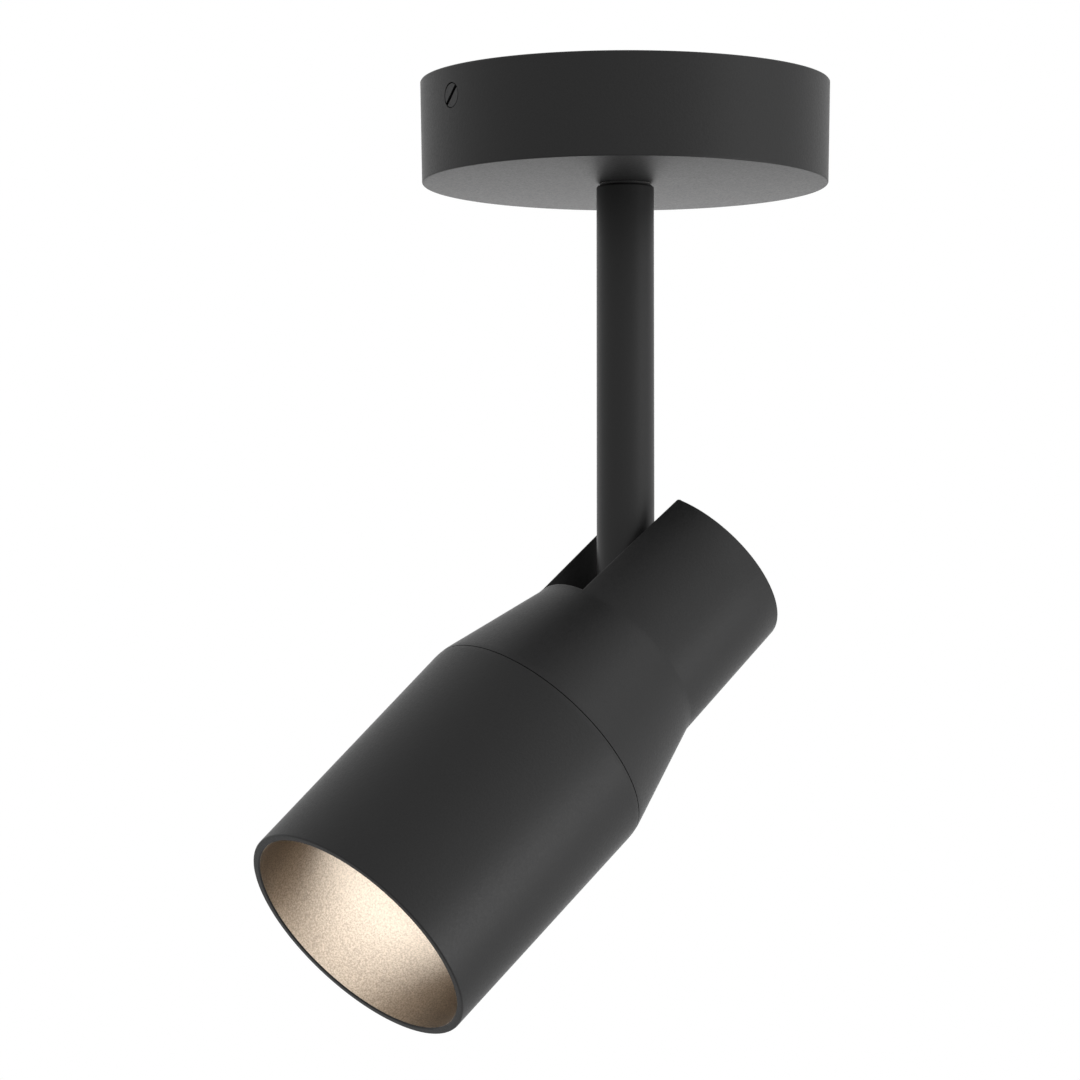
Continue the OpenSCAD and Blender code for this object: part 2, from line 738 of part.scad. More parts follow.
module swivel_nut() {
    color("goldenrod") translate([0, 0, nut_z]) difference() {
        cylinder(d = nut_af / cos(30), h = nut_h, $fn = 6);
        translate([0, 0, -over]) cylinder(r = nipple_r + seat_c, h = nut_h + 2 * over);
    }
}

module stem_cable() {
    color("dimgray") translate([0, 0, cable_foot]) cylinder(r = cable_r, h = cable_top - cable_foot);
}

module stem_knuckle() {
    grub_x = (pin_gap + knuckle_w) / 4;
    color([0.3, 0.3, 0.3]) translate([0, 0, -hinge_drop]) difference() {
        union() {
            cylinder(r = stem_r, h = knuckle_neck);
            cylinder(r = stem_bore_r - seat_c, h = knuckle_neck + knuckle_grip);
            x_rod(knuckle_r, -knuckle_w / 2, knuckle_w / 2);
        }
        cylinder(r = cable_r + loose_c, h = knuckle_neck + knuckle_grip + over);
        translate([-swing_half, -knuckle_r - over, -knuckle_r - over])
            cube([2 * swing_half, knuckle_r + over + swing_half, knuckle_r + over + swing_half]);
        x_rod(pin_r + seat_c, -knuckle_w / 2 - over, knuckle_w / 2 + over);
        for (s = [-1, 1]) translate([s * grub_x, 0, 0]) rotate([90, 0, 0])
            cylinder(d = grub_d + 2 * seat_c, h = knuckle_r + over);
    }
}

module pivot_pins() {
    color("silver") translate([0, 0, -hinge_drop]) for (a = [0, 180]) rotate([0, 0, a])
        x_rod(pin_r, pin_gap / 2, pin_end);
}

module grub_screws() {
    grub_x = (pin_gap + knuckle_w) / 4;
    grub_l = knuckle_r - pin_r - clear_c;
    color([0.2, 0.2, 0.2]) translate([0, 0, -hinge_drop]) for (s = [-1, 1])
        translate([s * grub_x, -pin_r - loose_c, 0]) rotate([90, 0, 0]) difference() {
            cylinder(d = grub_d, h = grub_l);
            translate([0, 0, grub_l / 2]) cylinder(d = grub_d / 2, h = grub_l, $fn = 6);
        }
}

module friction_washers() {
    color("tan") translate([0, 0, -hinge_drop]) for (a = [0, 180]) rotate([0, 0, a])
        translate([knuckle_w / 2, 0, 0]) rotate([0, 90, 0])
            ring(knuckle_r - hinge_inset, pin_r + seat_c, friction_t);
}

module hinge_springs() {
    color("gray") translate([0, 0, -hinge_drop]) for (a = [0, 180]) rotate([0, 0, a])
        translate([knuckle_w / 2 + friction_t, 0, 0]) rotate([0, 90, 0])
            disc_spring(knuckle_r - hinge_inset, pin_r + seat_c, hinge_spring_h,
                hinge_spring_h * spring_t_share);
}

// Shell of the housing as a revolved wall, its rear face up
module housing_shell() {
    groove_front = -seam_at - oring_at - groove_w;
    rotate_extrude() polygon(concat(
        [[0, rear_back]],
        arc([rear_end_r - rear_edge_r, rear_back - rear_edge_r], rear_edge_r, 90, 0),
        [[rear_front_r, -cone_start]],
        arc([barrel_r - shoulder_r, -seam_at - shoulder_t], shoulder_r, cone_angle, seam_angle),
        [[spigot_r, -seam_at],
            [spigot_r, -seam_at - oring_at], [groove_r, -seam_at - oring_at],
            [groove_r, groove_front], [spigot_r, groove_front],
            [spigot_r, -seam_at - spigot_l], [spigot_bore_r, -seam_at - spigot_l],
            [spigot_bore_r, -bore_meet],
            [rear_front_r - head_wall, -cone_start], [shell_bore_r, -cone_start],
            [shell_bore_r, rear_back - rear_wall], [0, rear_back - rear_wall]]));
}

// Half-width of the slot at height z on the head, its walls set apart by extra
function slot_half(z, extra) =
    extra + slot_front_w / 2
        + (slot_rear_w - slot_front_w) / 2 * (z + slot_front_at) / (rear_back + slot_front_at);

// A tapered trough round the stem's swing: flat walls on the slot's side, round below
module trough(z0, z1, extra) {
    rotate([90, 0, 0]) linear_extrude(rear_front_r + over) polygon([
        [-slot_half(z0, extra), z0], [slot_half(z0, extra), z0],
        [slot_half(z1, extra), z1], [-slot_half(z1, extra), z1]]);
    translate([0, 0, z0]) cylinder(r1 = slot_half(z0, extra + trough_bulge),
        r2 = slot_half(z1, extra + trough_bulge), h = z1 - z0);
}

// The room that the stem and its knuckle need inside the housing
module stem_room() {
    reach = rear_front_r + over;
    lean = (slot_deep_at - slot_front_at) / rear_front_r;
    difference() {
        union() {
            intersection() {
                trough(-slot_deep_at - over, rear_back + over, 0);
                rotate([90, 0, 90]) linear_extrude(slot_rear_w + 2 * over, center = true) polygon([
                    [-reach, lean * reach - slot_deep_at], [0, -slot_deep_at], [0, 0],
                    [reach, 0], [reach, rear_back + over], [-reach, rear_back + over]]);
            }
            x_rod(slot_deep_at + pocket_step, -pad_gap / 2, pad_gap / 2);
        }
        for (a = [0, 180]) rotate([0, 0, a]) x_rod(pad_d / 2, pad_gap / 2, slot_rear_w);
    }
}

module rear_housing() {
    color([0.1, 0.1, 0.1]) on_head() difference() {
        union() {
            housing_shell();
            intersection() {
                union() {
                    trough(-plate_at - over, rear_back - rear_wall / 2, cheek_t);
                    x_rod(boss_r, -boss_end, boss_end);
                    translate([-lower_boss_r, 0, -plate_at - over])
                        cube([2 * lower_boss_r, rear_front_r, plate_at + over]);
                }
                translate([0, 0, -plate_at])
                    cylinder(r = shell_bore_r + head_wall / 2, h = plate_at + rear_back);
            }
        }
        stem_room();
        x_rod(pin_r + run_c, -pin_hole_end, pin_hole_end);
        translate([0, 0, -plate_at - over]) {
            cylinder(r = cable_r + head_wall / 2, h = plate_at);
            each_bracket_screw() cylinder(d = small_screw_d + 2 * seat_c,
                h = bracket_screw_l - plate_t + over + loose_c);
        }
    }
}

module cable_bush() {
    sleeve_r = cable_r + head_wall / 2 - seat_c;
    sleeve_l = plate_at - slot_deep_at;
    color("white") on_head() translate([0, 0, -plate_front + loose_c]) difference() {
        union() {
            cylinder(r = sleeve_r, h = plate_t - loose_c + sleeve_l - loose_c);
            cylinder(r = sleeve_r + plate_t, h = plate_t - loose_c);
        }
        translate([0, 0, -over]) cylinder(r = cable_r + seat_c, h = plate_at);
    }
}

module head_cable() {
    color("dimgray") on_head() union() {
        sphere(r = cable_r);
        translate([0, 0, -plate_front - cable_r]) cylinder(r = cable_r, h = plate_front + cable_r);
    }
}

// Places of the bracket's three screws on its plate
module each_bracket_screw() {
    for (s = [-1, 1]) translate([s * upper_screw_x, -upper_screw_y, 0]) children();
    translate([0, lower_screw_y, 0]) children();
}

// Places of the lampholder's two screws
module each_holder_screw() {
    for (s = [-1, 1]) translate([0, s * holder_screw_y, 0]) children();
}

module lampholder_bracket() {
    color("silver") on_head() translate([0, 0, -plate_front]) difference() {
        cylinder(d = plate_d, h = plate_t);
        translate([0, 0, -over]) {
            cylinder(r = cable_r + head_wall / 2 + plate_t + loose_c, h = plate_t + 2 * over);
            each_bracket_screw() cylinder(d = small_screw_d + 2 * loose_c, h = plate_t + 2 * over);
            each_holder_screw() cylinder(d = small_screw_d + 2 * seat_c, h = plate_t + 2 * over);
        }
    }
}

module bracket_screws() {
    color("silver") on_head() translate([0, 0, -plate_front]) each_bracket_screw()
        rotate([180, 0, 0]) pan_screw(small_screw_d, small_head_r, small_head_h, bracket_screw_l);
}

module lampholder() {
    color("whitesmoke") on_head() translate([0, 0, -holder_front]) difference() {
        cylinder(d = holder_d, h = holder_l);
        translate([0, 0, holder_l - cable_well])
            cylinder(r = cable_r + clear_c, h = cable_well + over);
        for (a = [0, 180]) for (turn = [0, lamp_turn / 2, lamp_turn]) rotate([0, 0, a - turn])
            translate([lamp_pin_pitch / 2, 0, -over]) cylinder(r = kidney_r, h = kidney_depth + over);
        each_holder_screw() {
            translate([0, 0, -over]) cylinder(d = small_screw_d + 2 * seat_c, h = holder_l + 2 * over);
            translate([0, 0, -over]) cylinder(r = small_head_r + seat_c, h = small_head_h + over);
        }
    }
}

module lampholder_screws() {
    color("silver") on_head() translate([0, 0, -holder_front + small_head_h]) each_holder_screw()
        rotate([180, 0, 0]) pan_screw(small_screw_d, small_head_r, small_head_h,
            holder_l - small_head_h + plate_t * bite_share);
}

module lampholder_contacts() {
    color("goldenrod") on_head() for (a = [0, 180]) rotate([0, 0, a])
        translate([lamp_pin_pitch / 2, 0, -holder_front + kidney_depth - contact_t])
            cylinder(r = lamp_pin_d / 2, h = contact_t);
}

module spigot_oring() {
    color([0.15, 0.15, 0.15]) on_head() translate([0, 0, -seam_at - oring_at - groove_w / 2])
        rotate_extrude() translate([oring_r, 0]) circle(d = oring_t);
}

module lamp_body() {
    color("white") on_head() {
        intersection() {
            translate([0, 0, -lamp_base - lamp_base_l - over])
                cylinder(r = lamp_base_r, h = lamp_base_l + over);
            translate([-lamp_base_r, -lamp_base_w / 2, -lamp_base - lamp_base_l - over])
                cube([2 * lamp_base_r, lamp_base_w, lamp_base_l + over]);
        }
        rotate_extrude() polygon([
            [0, -lamp_base - lamp_base_l], [lamp_base_r, -lamp_base - lamp_base_l],
            [lamp_r, lamp_rim_l - lamp_face], [lamp_r, lens_dome - lamp_face],
            [lens_r + seat_c, lens_dome - lamp_face], [lens_r + seat_c, lens_t - lamp_face],
            [lamp_r - lamp_wall, lens_t - lamp_face], [lamp_r - lamp_wall, lamp_rim_l - lamp_face],
            [lamp_base_r - lamp_wall, -lamp_base - lamp_base_l - lamp_wall],
            [0, -lamp_base - lamp_base_l - lamp_wall]]);
    }
}

module lamp_lens() {
    dome_r = (pow(lens_r, 2) + pow(lens_dome, 2)) / (2 * lens_dome);
    dome_a = asin(lens_r / dome_r);
    color("lightyellow") on_head() rotate_extrude() polygon(concat(
        [[0, lens_t - seat_c - lamp_face], [lens_r, lens_t - seat_c - lamp_face]],
        arc([0, dome_r - lamp_face], dome_r, dome_a - 90, -90)));
}

module lamp_pins() {
    color("silver") on_head() for (a = [0, 180]) rotate([0, 0, a])
        translate([lamp_pin_pitch / 2, 0, -lamp_base]) {
            cylinder(d = lamp_pin_d, h = lamp_pin_l);
            translate([0, 0, lamp_pin_l - lamp_pin_head_d / 2])
                cylinder(d = lamp_pin_head_d, h = lamp_pin_head_d / 2);
        }
}

module front_barrel() {
    seam_c = [barrel_r - shoulder_r, -seam_at - shoulder_t];
    start_angle = asin((shoulder_t - seam_gap) / shoulder_r);
    color([0.1, 0.1, 0.1]) on_head() rotate_extrude() polygon(concat(
        [[barrel_bore_r, -seam_at - seam_gap]],
        arc(seam_c, shoulder_r, start_angle, 0),
        arc([barrel_r - rim_edge_r, rim_edge_r - mouth_at], rim_edge_r, 0, -90),
        [[mouth_d / 2, -mouth_at], [mouth_d / 2, lip_t - mouth_at],
            [barrel_bore_r, lip_t - mouth_at]]));
}

module reflector_liner() {
    color("burlywood") on_head() rotate_extrude() polygon([
        [liner_hole_r, -liner_floor], [liner_r, -liner_floor],
        [liner_r, lip_t - mouth_at], [liner_r - liner_t, lip_t - mouth_at],
        [liner_r - liner_t, -liner_floor - liner_t], [liner_hole_r, -liner_floor - liner_t]]);
}

ceiling_bracket();
cable_grommet();
canopy_cup();
canopy_screws();
terminal_block();
terminal_sleeves();
terminal_screws();
block_screw();
earth_screw();
earth_tag();
line_lead();
neutral_lead();
earth_lead();
swivel_bush();
stop_pin();
thrust_washer();
stem_tube();
stem_nipple();
stop_tab();
swivel_spring();
top_washer();
swivel_nut();
stem_cable();
stem_knuckle();
pivot_pins();
grub_screws();
friction_washers();
hinge_springs();
rear_housing();
cable_bush();
head_cable();
lampholder_bracket();
bracket_screws();
lampholder();
lampholder_screws();
lampholder_contacts();
spigot_oring();
lamp_body();
lamp_lens();
lamp_pins();
front_barrel();
reflector_liner();
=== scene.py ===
"""Looks of a ceiling spotlight: round canopy, rigid stem and a slotted, flared tilting head."""

import logging
import math
from dataclasses import dataclass
from enum import Enum

import bmesh
import bpy
from bpy.types import (ID, Material, Mesh, Node, NodeInputs, NodeOutputs, NodeSocket, NodeTree,
                       Object)
from mathutils import Matrix, Vector


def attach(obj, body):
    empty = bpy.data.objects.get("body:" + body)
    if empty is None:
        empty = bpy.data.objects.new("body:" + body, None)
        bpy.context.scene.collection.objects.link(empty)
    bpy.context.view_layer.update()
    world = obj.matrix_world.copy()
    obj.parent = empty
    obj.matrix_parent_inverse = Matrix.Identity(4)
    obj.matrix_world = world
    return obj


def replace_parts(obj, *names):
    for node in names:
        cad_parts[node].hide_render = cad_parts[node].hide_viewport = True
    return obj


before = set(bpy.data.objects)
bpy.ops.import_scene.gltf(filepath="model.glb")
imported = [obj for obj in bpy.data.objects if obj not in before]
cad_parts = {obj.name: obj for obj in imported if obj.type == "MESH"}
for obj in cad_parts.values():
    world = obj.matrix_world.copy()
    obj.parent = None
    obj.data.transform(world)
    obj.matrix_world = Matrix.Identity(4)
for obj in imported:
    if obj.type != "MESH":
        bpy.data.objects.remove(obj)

MM = 0.001
# Points that are closer than this, in metres, count as one: on a fresh mesh and on a cut one.
SAME = 1e-7
NEAR = 1e-6
WHITE = (1.0, 1.0, 1.0, 1.0)
PHOTO_SIDE = 1080
log = logging.getLogger("spotlight")

Colour = tuple[float, float, float]
Place = tuple[float, float, float]
Profile = list[tuple[float, float]]
Places = tuple[tuple[float, float], ...]
Sockets = dict[str, str | float]


# Node helpers


def add(tree: NodeTree, kind: str, **values: object) -> Node:
    """Adds a node and sets its properties or unlinked inputs.

    Args:
        tree: the tree that gets the node.
        kind: the node's type name.
        **values: properties by name; names that are inputs use underscores for spaces.

    Returns:
        The new node.
    """
    node = tree.nodes.new(kind)
    for name, value in values.items():
        if hasattr(node, name):
            setattr(node, name, value)
        else:
            node.inputs[name.replace("_", " ")].default_value = value
    return node


def maths(tree: NodeTree, how: str, a: object, b: object = 0.0) -> NodeSocket:
    """Adds a Math node.

    Args:
        tree: the tree that gets the node.
        how: the operation.
        a: the first value or socket.
        b: the second value or socket.

    Returns:
        The node's result.
    """
    node = add(tree, "ShaderNodeMath", operation=how)
    for socket, value in zip(node.inputs, (a, b)):
        if isinstance(value, NodeSocket):
            tree.links.new(value, socket)
        else:
            socket.default_value = value
    return node.outputs[0]


def started(name: str, kind: str, inputs: Sockets,
            outputs: Sockets) -> tuple[NodeTree, NodeOutputs, NodeInputs]:
    """Starts a node group with its sockets.

    Args:
        name: the group's name.
        kind: Shader or Geometry.
        inputs: type of each input by name, or a number that is its default.
        outputs: type of each output by name.

    Returns:
        The tree, the sockets of its inputs and the sockets of its outputs.
    """
    tree = bpy.data.node_groups.new(name, kind + "NodeTree")
    for way, sockets in (("INPUT", inputs), ("OUTPUT", outputs)):
        for label, value in sockets.items():
            form = value if isinstance(value, str) else type(value).__name__.title()
            socket = tree.interface.new_socket(label, in_out=way, socket_type="NodeSocket" + form)
            if not isinstance(value, str):
                socket.default_value = value
    return tree, add(tree, "NodeGroupInput").outputs, add(tree, "NodeGroupOutput").inputs


def grain_group() -> NodeTree:
    """Builds the group for the fine grain of a coat or casting.

    Returns:
        A group that gives Height, Speck and Cloud.
    """
    tree, given, result = started(
        "surface_grain", "Shader", {"Vector": "Vector", "Scale": 1800.0, "Spread": 0.5},
        {"Height": "Float", "Speck": "Float", "Cloud": "Float"})
    link = tree.links.new
    fine = add(tree, "ShaderNodeTexNoise", Detail=3.0, Roughness=0.6)
    cell = add(tree, "ShaderNodeTexVoronoi", feature="SMOOTH_F1", Smoothness=0.6)
    broad = add(tree, "ShaderNodeTexNoise", Scale=28.0, Detail=4.0, Roughness=0.55)
    for node in (fine, cell, broad):
        link(given["Vector"], node.inputs["Vector"])
    link(given["Scale"], fine.inputs["Scale"])
    link(maths(tree, "MULTIPLY", given["Scale"], 0.55), cell.inputs["Scale"])
    pits = maths(tree, "MULTIPLY", cell.outputs["Distance"], given["Spread"])
    link(maths(tree, "ADD", fine.outputs["Fac"], pits), result["Height"])
    for noise, low, name in ((fine, 0.35, "Speck"), (broad, 0.3, "Cloud")):
        spread = add(tree, "ShaderNodeMapRange", From_Min=low, From_Max=0.7)
        link(noise.outputs["Fac"], spread.inputs["Value"])
        link(spread.outputs["Result"], result[name])
    return tree


def scaled(tree: NodeTree, colour: NodeSocket, gain: NodeSocket, out: NodeSocket) -> None:
    """Multiplies a colour by a value and leads the result to a socket.

    Args:
        tree: the group's tree.
        colour: the colour's socket.
        gain: the value's socket.
        out: the socket that takes the result.
    """
    link, scale = tree.links.new, add(tree, "ShaderNodeVectorMath", operation="SCALE")
    link(colour, scale.inputs[0])
    link(gain, scale.inputs["Scale"])
    link(scale.outputs[0], out)


def tone_group() -> NodeTree:
    """Builds the group that lightens and darkens a colour by a mask.

    Returns:
        A group that gives the new Colour.
    """
    tree, given, result = started(
        "tone_shift", "Shader", {"Colour": "Color", "Mask": "Float", "Amount": 0.2},
        {"Colour": "Color"})
    centred = maths(tree, "SUBTRACT", given["Mask"], 0.5)
    gain = maths(tree, "ADD", maths(tree, "MULTIPLY", centred, given["Amount"]), 1.0)
    scaled(tree, given["Colour"], gain, result["Colour"])
    return tree


def glow_group() -> NodeTree:
    """Builds the group for a light that fades with the distance from a point.

    Returns:
        A group that gives the light's Colour.
    """
    tree, given, result = started(
        "round_glow", "Shader",
        {"Vector": "Vector", "Colour": "Color", "Centre": "Vector", "Core": "Float",
         "Reach": "Float"},
        {"Colour": "Color"})
    link = tree.links.new
    away = add(tree, "ShaderNodeVectorMath", operation="DISTANCE")
    link(given["Vector"], away.inputs[0])
    link(given["Centre"], away.inputs[1])
    fade = add(tree, "ShaderNodeMapRange", interpolation_type="SMOOTHSTEP", To_Min=1.0, To_Max=0.0)
    link(away.outputs["Value"], fade.inputs["Value"])
    link(given["Core"], fade.inputs["From Min"])
    link(given["Reach"], fade.inputs["From Max"])
    scaled(tree, given["Colour"], fade.outputs["Result"], result["Colour"])
    return tree


GRAIN = grain_group()
TONE = tone_group()
GLOW = glow_group()


# Finishes


class Pattern(Enum):
    """Which way a finish's grain runs."""

    EVEN = (1.0, 1.0, 1.0)
    ACROSS_Z = (0.06, 0.06, 1.0)


@dataclass(frozen=True)
class Finish:
    """A surface finish that one Principled shader carries.

    Args:
        name: the material's name, which is the record's slot too.
        colour: linear base colour.
        roughness: mean roughness.
        metallic: 0 or 1.
        grain: grain cells per metre.
        depth: height of the grain in metres.
        tone: how far the colour shifts from grain to grain.
        cloud: how far it shifts over a hand's breadth.
        rough_shift: how far the roughness shifts with the grain.
        level: specular level.
        coat: clear coat weight.
        pattern: stretch of the grain.
        stretch: how far highlights are drawn out, as on spun metal.
        lay: the way they are drawn out, in the piece's own space.
    """

    name: str
    colour: Colour
    roughness: float = 0.5
    metallic: float = 0.0
    grain: float = 1800.0
    depth: float = 0.00002
    tone: float = 0.15
    cloud: float = 0.05
    rough_shift: float = 0.08
    level: float = 0.5
    coat: float = 0.0
    pattern: Pattern = Pattern.EVEN
    stretch: float = 0.0
    lay: Place = (0.0, 0.0, 1.0)

    def make(self) -> Material:
        """Builds the material.

        Returns:
            The new material.
        """
        material = bpy.data.materials.new(self.name)
        material.use_nodes = True
        tree = material.node_tree
        link = tree.links.new
        shader = tree.nodes["Principled BSDF"]
        place = add(tree, "ShaderNodeTexCoord")
        spread = add(tree, "ShaderNodeMapping", Scale=self.pattern.value)
        link(place.outputs["Object"], spread.inputs["Vector"])
        grain = add(tree, "ShaderNodeGroup", node_tree=GRAIN, Scale=self.grain)
        link(spread.outputs["Vector"], grain.inputs["Vector"])
        fine = add(tree, "ShaderNodeGroup", node_tree=TONE, Amount=self.tone)
        fine.inputs["Colour"].default_value = (*self.colour, 1.0)
        broad = add(tree, "ShaderNodeGroup", node_tree=TONE, Amount=self.cloud)
        link(grain.outputs["Speck"], fine.inputs["Mask"])
        link(grain.outputs["Cloud"], broad.inputs["Mask"])
        link(fine.outputs["Colour"], broad.inputs["Colour"])
        link(broad.outputs["Colour"], shader.inputs["Base Color"])
        rough = add(tree, "ShaderNodeMapRange", To_Min=self.roughness - self.rough_shift,
                    To_Max=self.roughness + self.rough_shift)
        link(grain.outputs["Speck"], rough.inputs["Value"])
        link(rough.outputs["Result"], shader.inputs["Roughness"])
        bump = add(tree, "ShaderNodeBump", Distance=self.depth, Strength=1.0)
        link(grain.outputs["Height"], bump.inputs["Height"])
        link(bump.outputs["Normal"], shader.inputs["Normal"])
        for name, value in (("Metallic", self.metallic), ("Specular IOR Level", self.level),
                            ("Coat Weight", self.coat)):
            shader.inputs[name].default_value = value
        if self.stretch:
            lay = add(tree, "ShaderNodeVectorTransform", vector_type="VECTOR",
                      convert_from="OBJECT", convert_to="WORLD", Vector=self.lay)
            link(lay.outputs["Vector"], shader.inputs["Tangent"])
            shader.inputs["Anisotropic"].default_value = self.stretch
        return material


@dataclass(frozen=True)
class LitFinish(Finish):
    """A finish that glows round one point of the piece.

    Args:
        glow: emission strength at the point.
        light: colour of the glow.
        centre: the point, in the piece's own space.
        core: radius of the full glow in metres.
        reach: radius in metres at which it has faded.
    """

    glow: float = 1.0
    light: Colour = (1.0, 1.0, 1.0)
    centre: Place = (0.0, 0.0, 0.0)
    core: float = 0.005
    reach: float = 0.02

    def make(self) -> Material:
        """Builds the material and adds the glow.

        Returns:
            The new material.
        """
        material = super().make()
        tree = material.node_tree
        shader = tree.nodes["Principled BSDF"]
        place = add(tree, "ShaderNodeTexCoord")
        glow = add(tree, "ShaderNodeGroup", node_tree=GLOW, Centre=self.centre, Core=self.core,
                   Reach=self.reach)
        glow.inputs["Colour"].default_value = (*self.light, 1.0)
        tree.links.new(place.outputs["Object"], glow.inputs["Vector"])
        tree.links.new(glow.outputs["Colour"], shader.inputs["Emission Color"])
        shader.inputs["Emission Strength"].default_value = self.glow
        return material


POWDER_BLACK = Finish("black_housing", (0.014, 0.014, 0.0142), roughness=0.5, grain=1900.0,
                      depth=0.000028, tone=0.3, cloud=0.03, rough_shift=0.05, level=0.3)
SATIN_BLACK = Finish("black_stem", (0.014, 0.014, 0.0142), roughness=0.46, grain=2400.0,
                     depth=0.000007, tone=0.12, cloud=0.03, rough_shift=0.04, level=0.3)
SCREW_BLACK = Finish("black_screw", (0.012, 0.012, 0.0125), roughness=0.44, grain=2500.0,
                     depth=0.000008, tone=0.2, cloud=0.03, level=0.3)
CHAMPAGNE = Finish("champagne", (0.492, 0.414, 0.332), roughness=0.36, metallic=1.0,
                   grain=2400.0, depth=0.000006, tone=0.6, rough_shift=0.05, stretch=0.75,
                   lay=(0.0, -0.7313537, -0.6819984))
ZINC = Finish("zinc", (0.6, 0.61, 0.63), roughness=0.34, metallic=1.0, grain=900.0,
              depth=0.000006, tone=0.25)
BRASS = Finish("brass", (0.72, 0.5, 0.2), roughness=0.28, metallic=1.0, grain=1400.0,
               depth=0.000006, tone=0.2, pattern=Pattern.ACROSS_Z)
SPRING = Finish("spring_steel", (0.32, 0.32, 0.35), roughness=0.3, metallic=1.0, grain=1200.0,
                depth=0.000005, tone=0.3)
BLOCK_WHITE = Finish("block_plastic", (0.74, 0.71, 0.62), roughness=0.42, grain=700.0,
                     depth=0.000012, tone=0.06)
NYLON_BLACK = Finish("black_nylon", (0.012, 0.012, 0.012), roughness=0.6, grain=900.0,
                     depth=0.00001, tone=0.3)
NYLON_WHITE = Finish("white_nylon", (0.78, 0.77, 0.73), roughness=0.4, grain=800.0,
                     depth=0.00001, tone=0.06)
FIBRE = Finish("fibre", (0.3, 0.19, 0.1), roughness=0.8, grain=2200.0, depth=0.00004, tone=0.6)
RUBBER_BLACK = Finish("black_rubber", (0.015, 0.015, 0.015), roughness=0.7, grain=1200.0, tone=0.3)
RUBBER_GREY = Finish("grey_rubber", (0.16, 0.16, 0.165), roughness=0.7, grain=1200.0, tone=0.2)
WIRE_BROWN = Finish("lead_brown", (0.14, 0.055, 0.02), roughness=0.45, grain=900.0)
WIRE_BLUE = Finish("lead_blue", (0.02, 0.09, 0.36), roughness=0.45, grain=900.0)
WIRE_GREEN = Finish("lead_green", (0.12, 0.3, 0.02), roughness=0.45, grain=900.0)
SHEATH = Finish("cable_sheath", (0.03, 0.03, 0.032), roughness=0.55, grain=1300.0, tone=0.2)
STEATITE = Finish("steatite", (0.76, 0.73, 0.65), roughness=0.55, grain=1500.0, tone=0.08)
LAMP_BODY = Finish("lamp_glass", (0.8, 0.8, 0.78), roughness=0.25, grain=600.0, depth=0.000006,
                   tone=0.04, coat=0.4)
LAMP_FRONT = LitFinish("lamp_front", (0.8, 0.79, 0.76), roughness=0.45, grain=1600.0,
                       tone=0.04, glow=5.0, light=(0.97, 1.0, 1.04),
                       centre=(0.0, -0.0524746, -0.1869334), reach=0.031)


class Wardrobe:
    """Makes each finish once and dresses meshes with it."""

    def __init__(self) -> None:
        """Starts with no material made."""
        self.made: dict[str, Material] = {}

    def get(self, finish: Finish) -> Material:
        """Gives the material of a finish.

        Args:
            finish: the finish wanted.

        Returns:
            Its material, built on first use.
        """
        if finish.name not in self.made:
            self.made[finish.name] = finish.make()
        return self.made[finish.name]

    def dress(self, piece: Object, finish: Finish) -> None:
        """Gives a piece one finish in place of whatever slots it has."""
        piece.data.materials.clear()
        piece.data.materials.append(self.get(finish))


WARDROBE = Wardrobe()


# Turned pieces


def arc(cx: float, cz: float, r: float, a0: float, a1: float, steps: int = 6) -> Profile:
    """Gives points of an arc in a profile.

    Args:
        cx: centre's distance from the axis, in mm.
        cz: centre's height, in mm.
        r: radius in mm.
        a0: first angle in degrees.
        a1: last angle in degrees.
        steps: number of pieces.

    Returns:
        The points from a0 to a1.
    """
    angles = [math.radians(a0 + (a1 - a0) * i / steps) for i in range(steps + 1)]
    return [(cx + r * math.cos(a), cz + r * math.sin(a)) for a in angles]


def ended(tree: NodeTree, mesh: NodeSocket, given: NodeOutputs, result: NodeInputs) -> NodeTree:
    """Ends a geometry tree with Realize Instances and Set Material.

    Args:
        tree: the tree.
        mesh: the socket that carries its mesh.
        given: the sockets of its inputs, with the Material.
        result: the sockets of its outputs.

    Returns:
        The same tree.
    """
    link = tree.links.new
    solid = add(tree, "GeometryNodeRealizeInstances")
    paint = add(tree, "GeometryNodeSetMaterial")
    link(mesh, solid.inputs["Geometry"])
    link(solid.outputs["Geometry"], paint.inputs["Geometry"])
    link(given["Material"], paint.inputs["Material"])
    link(paint.outputs["Geometry"], result["Geometry"])
    return tree


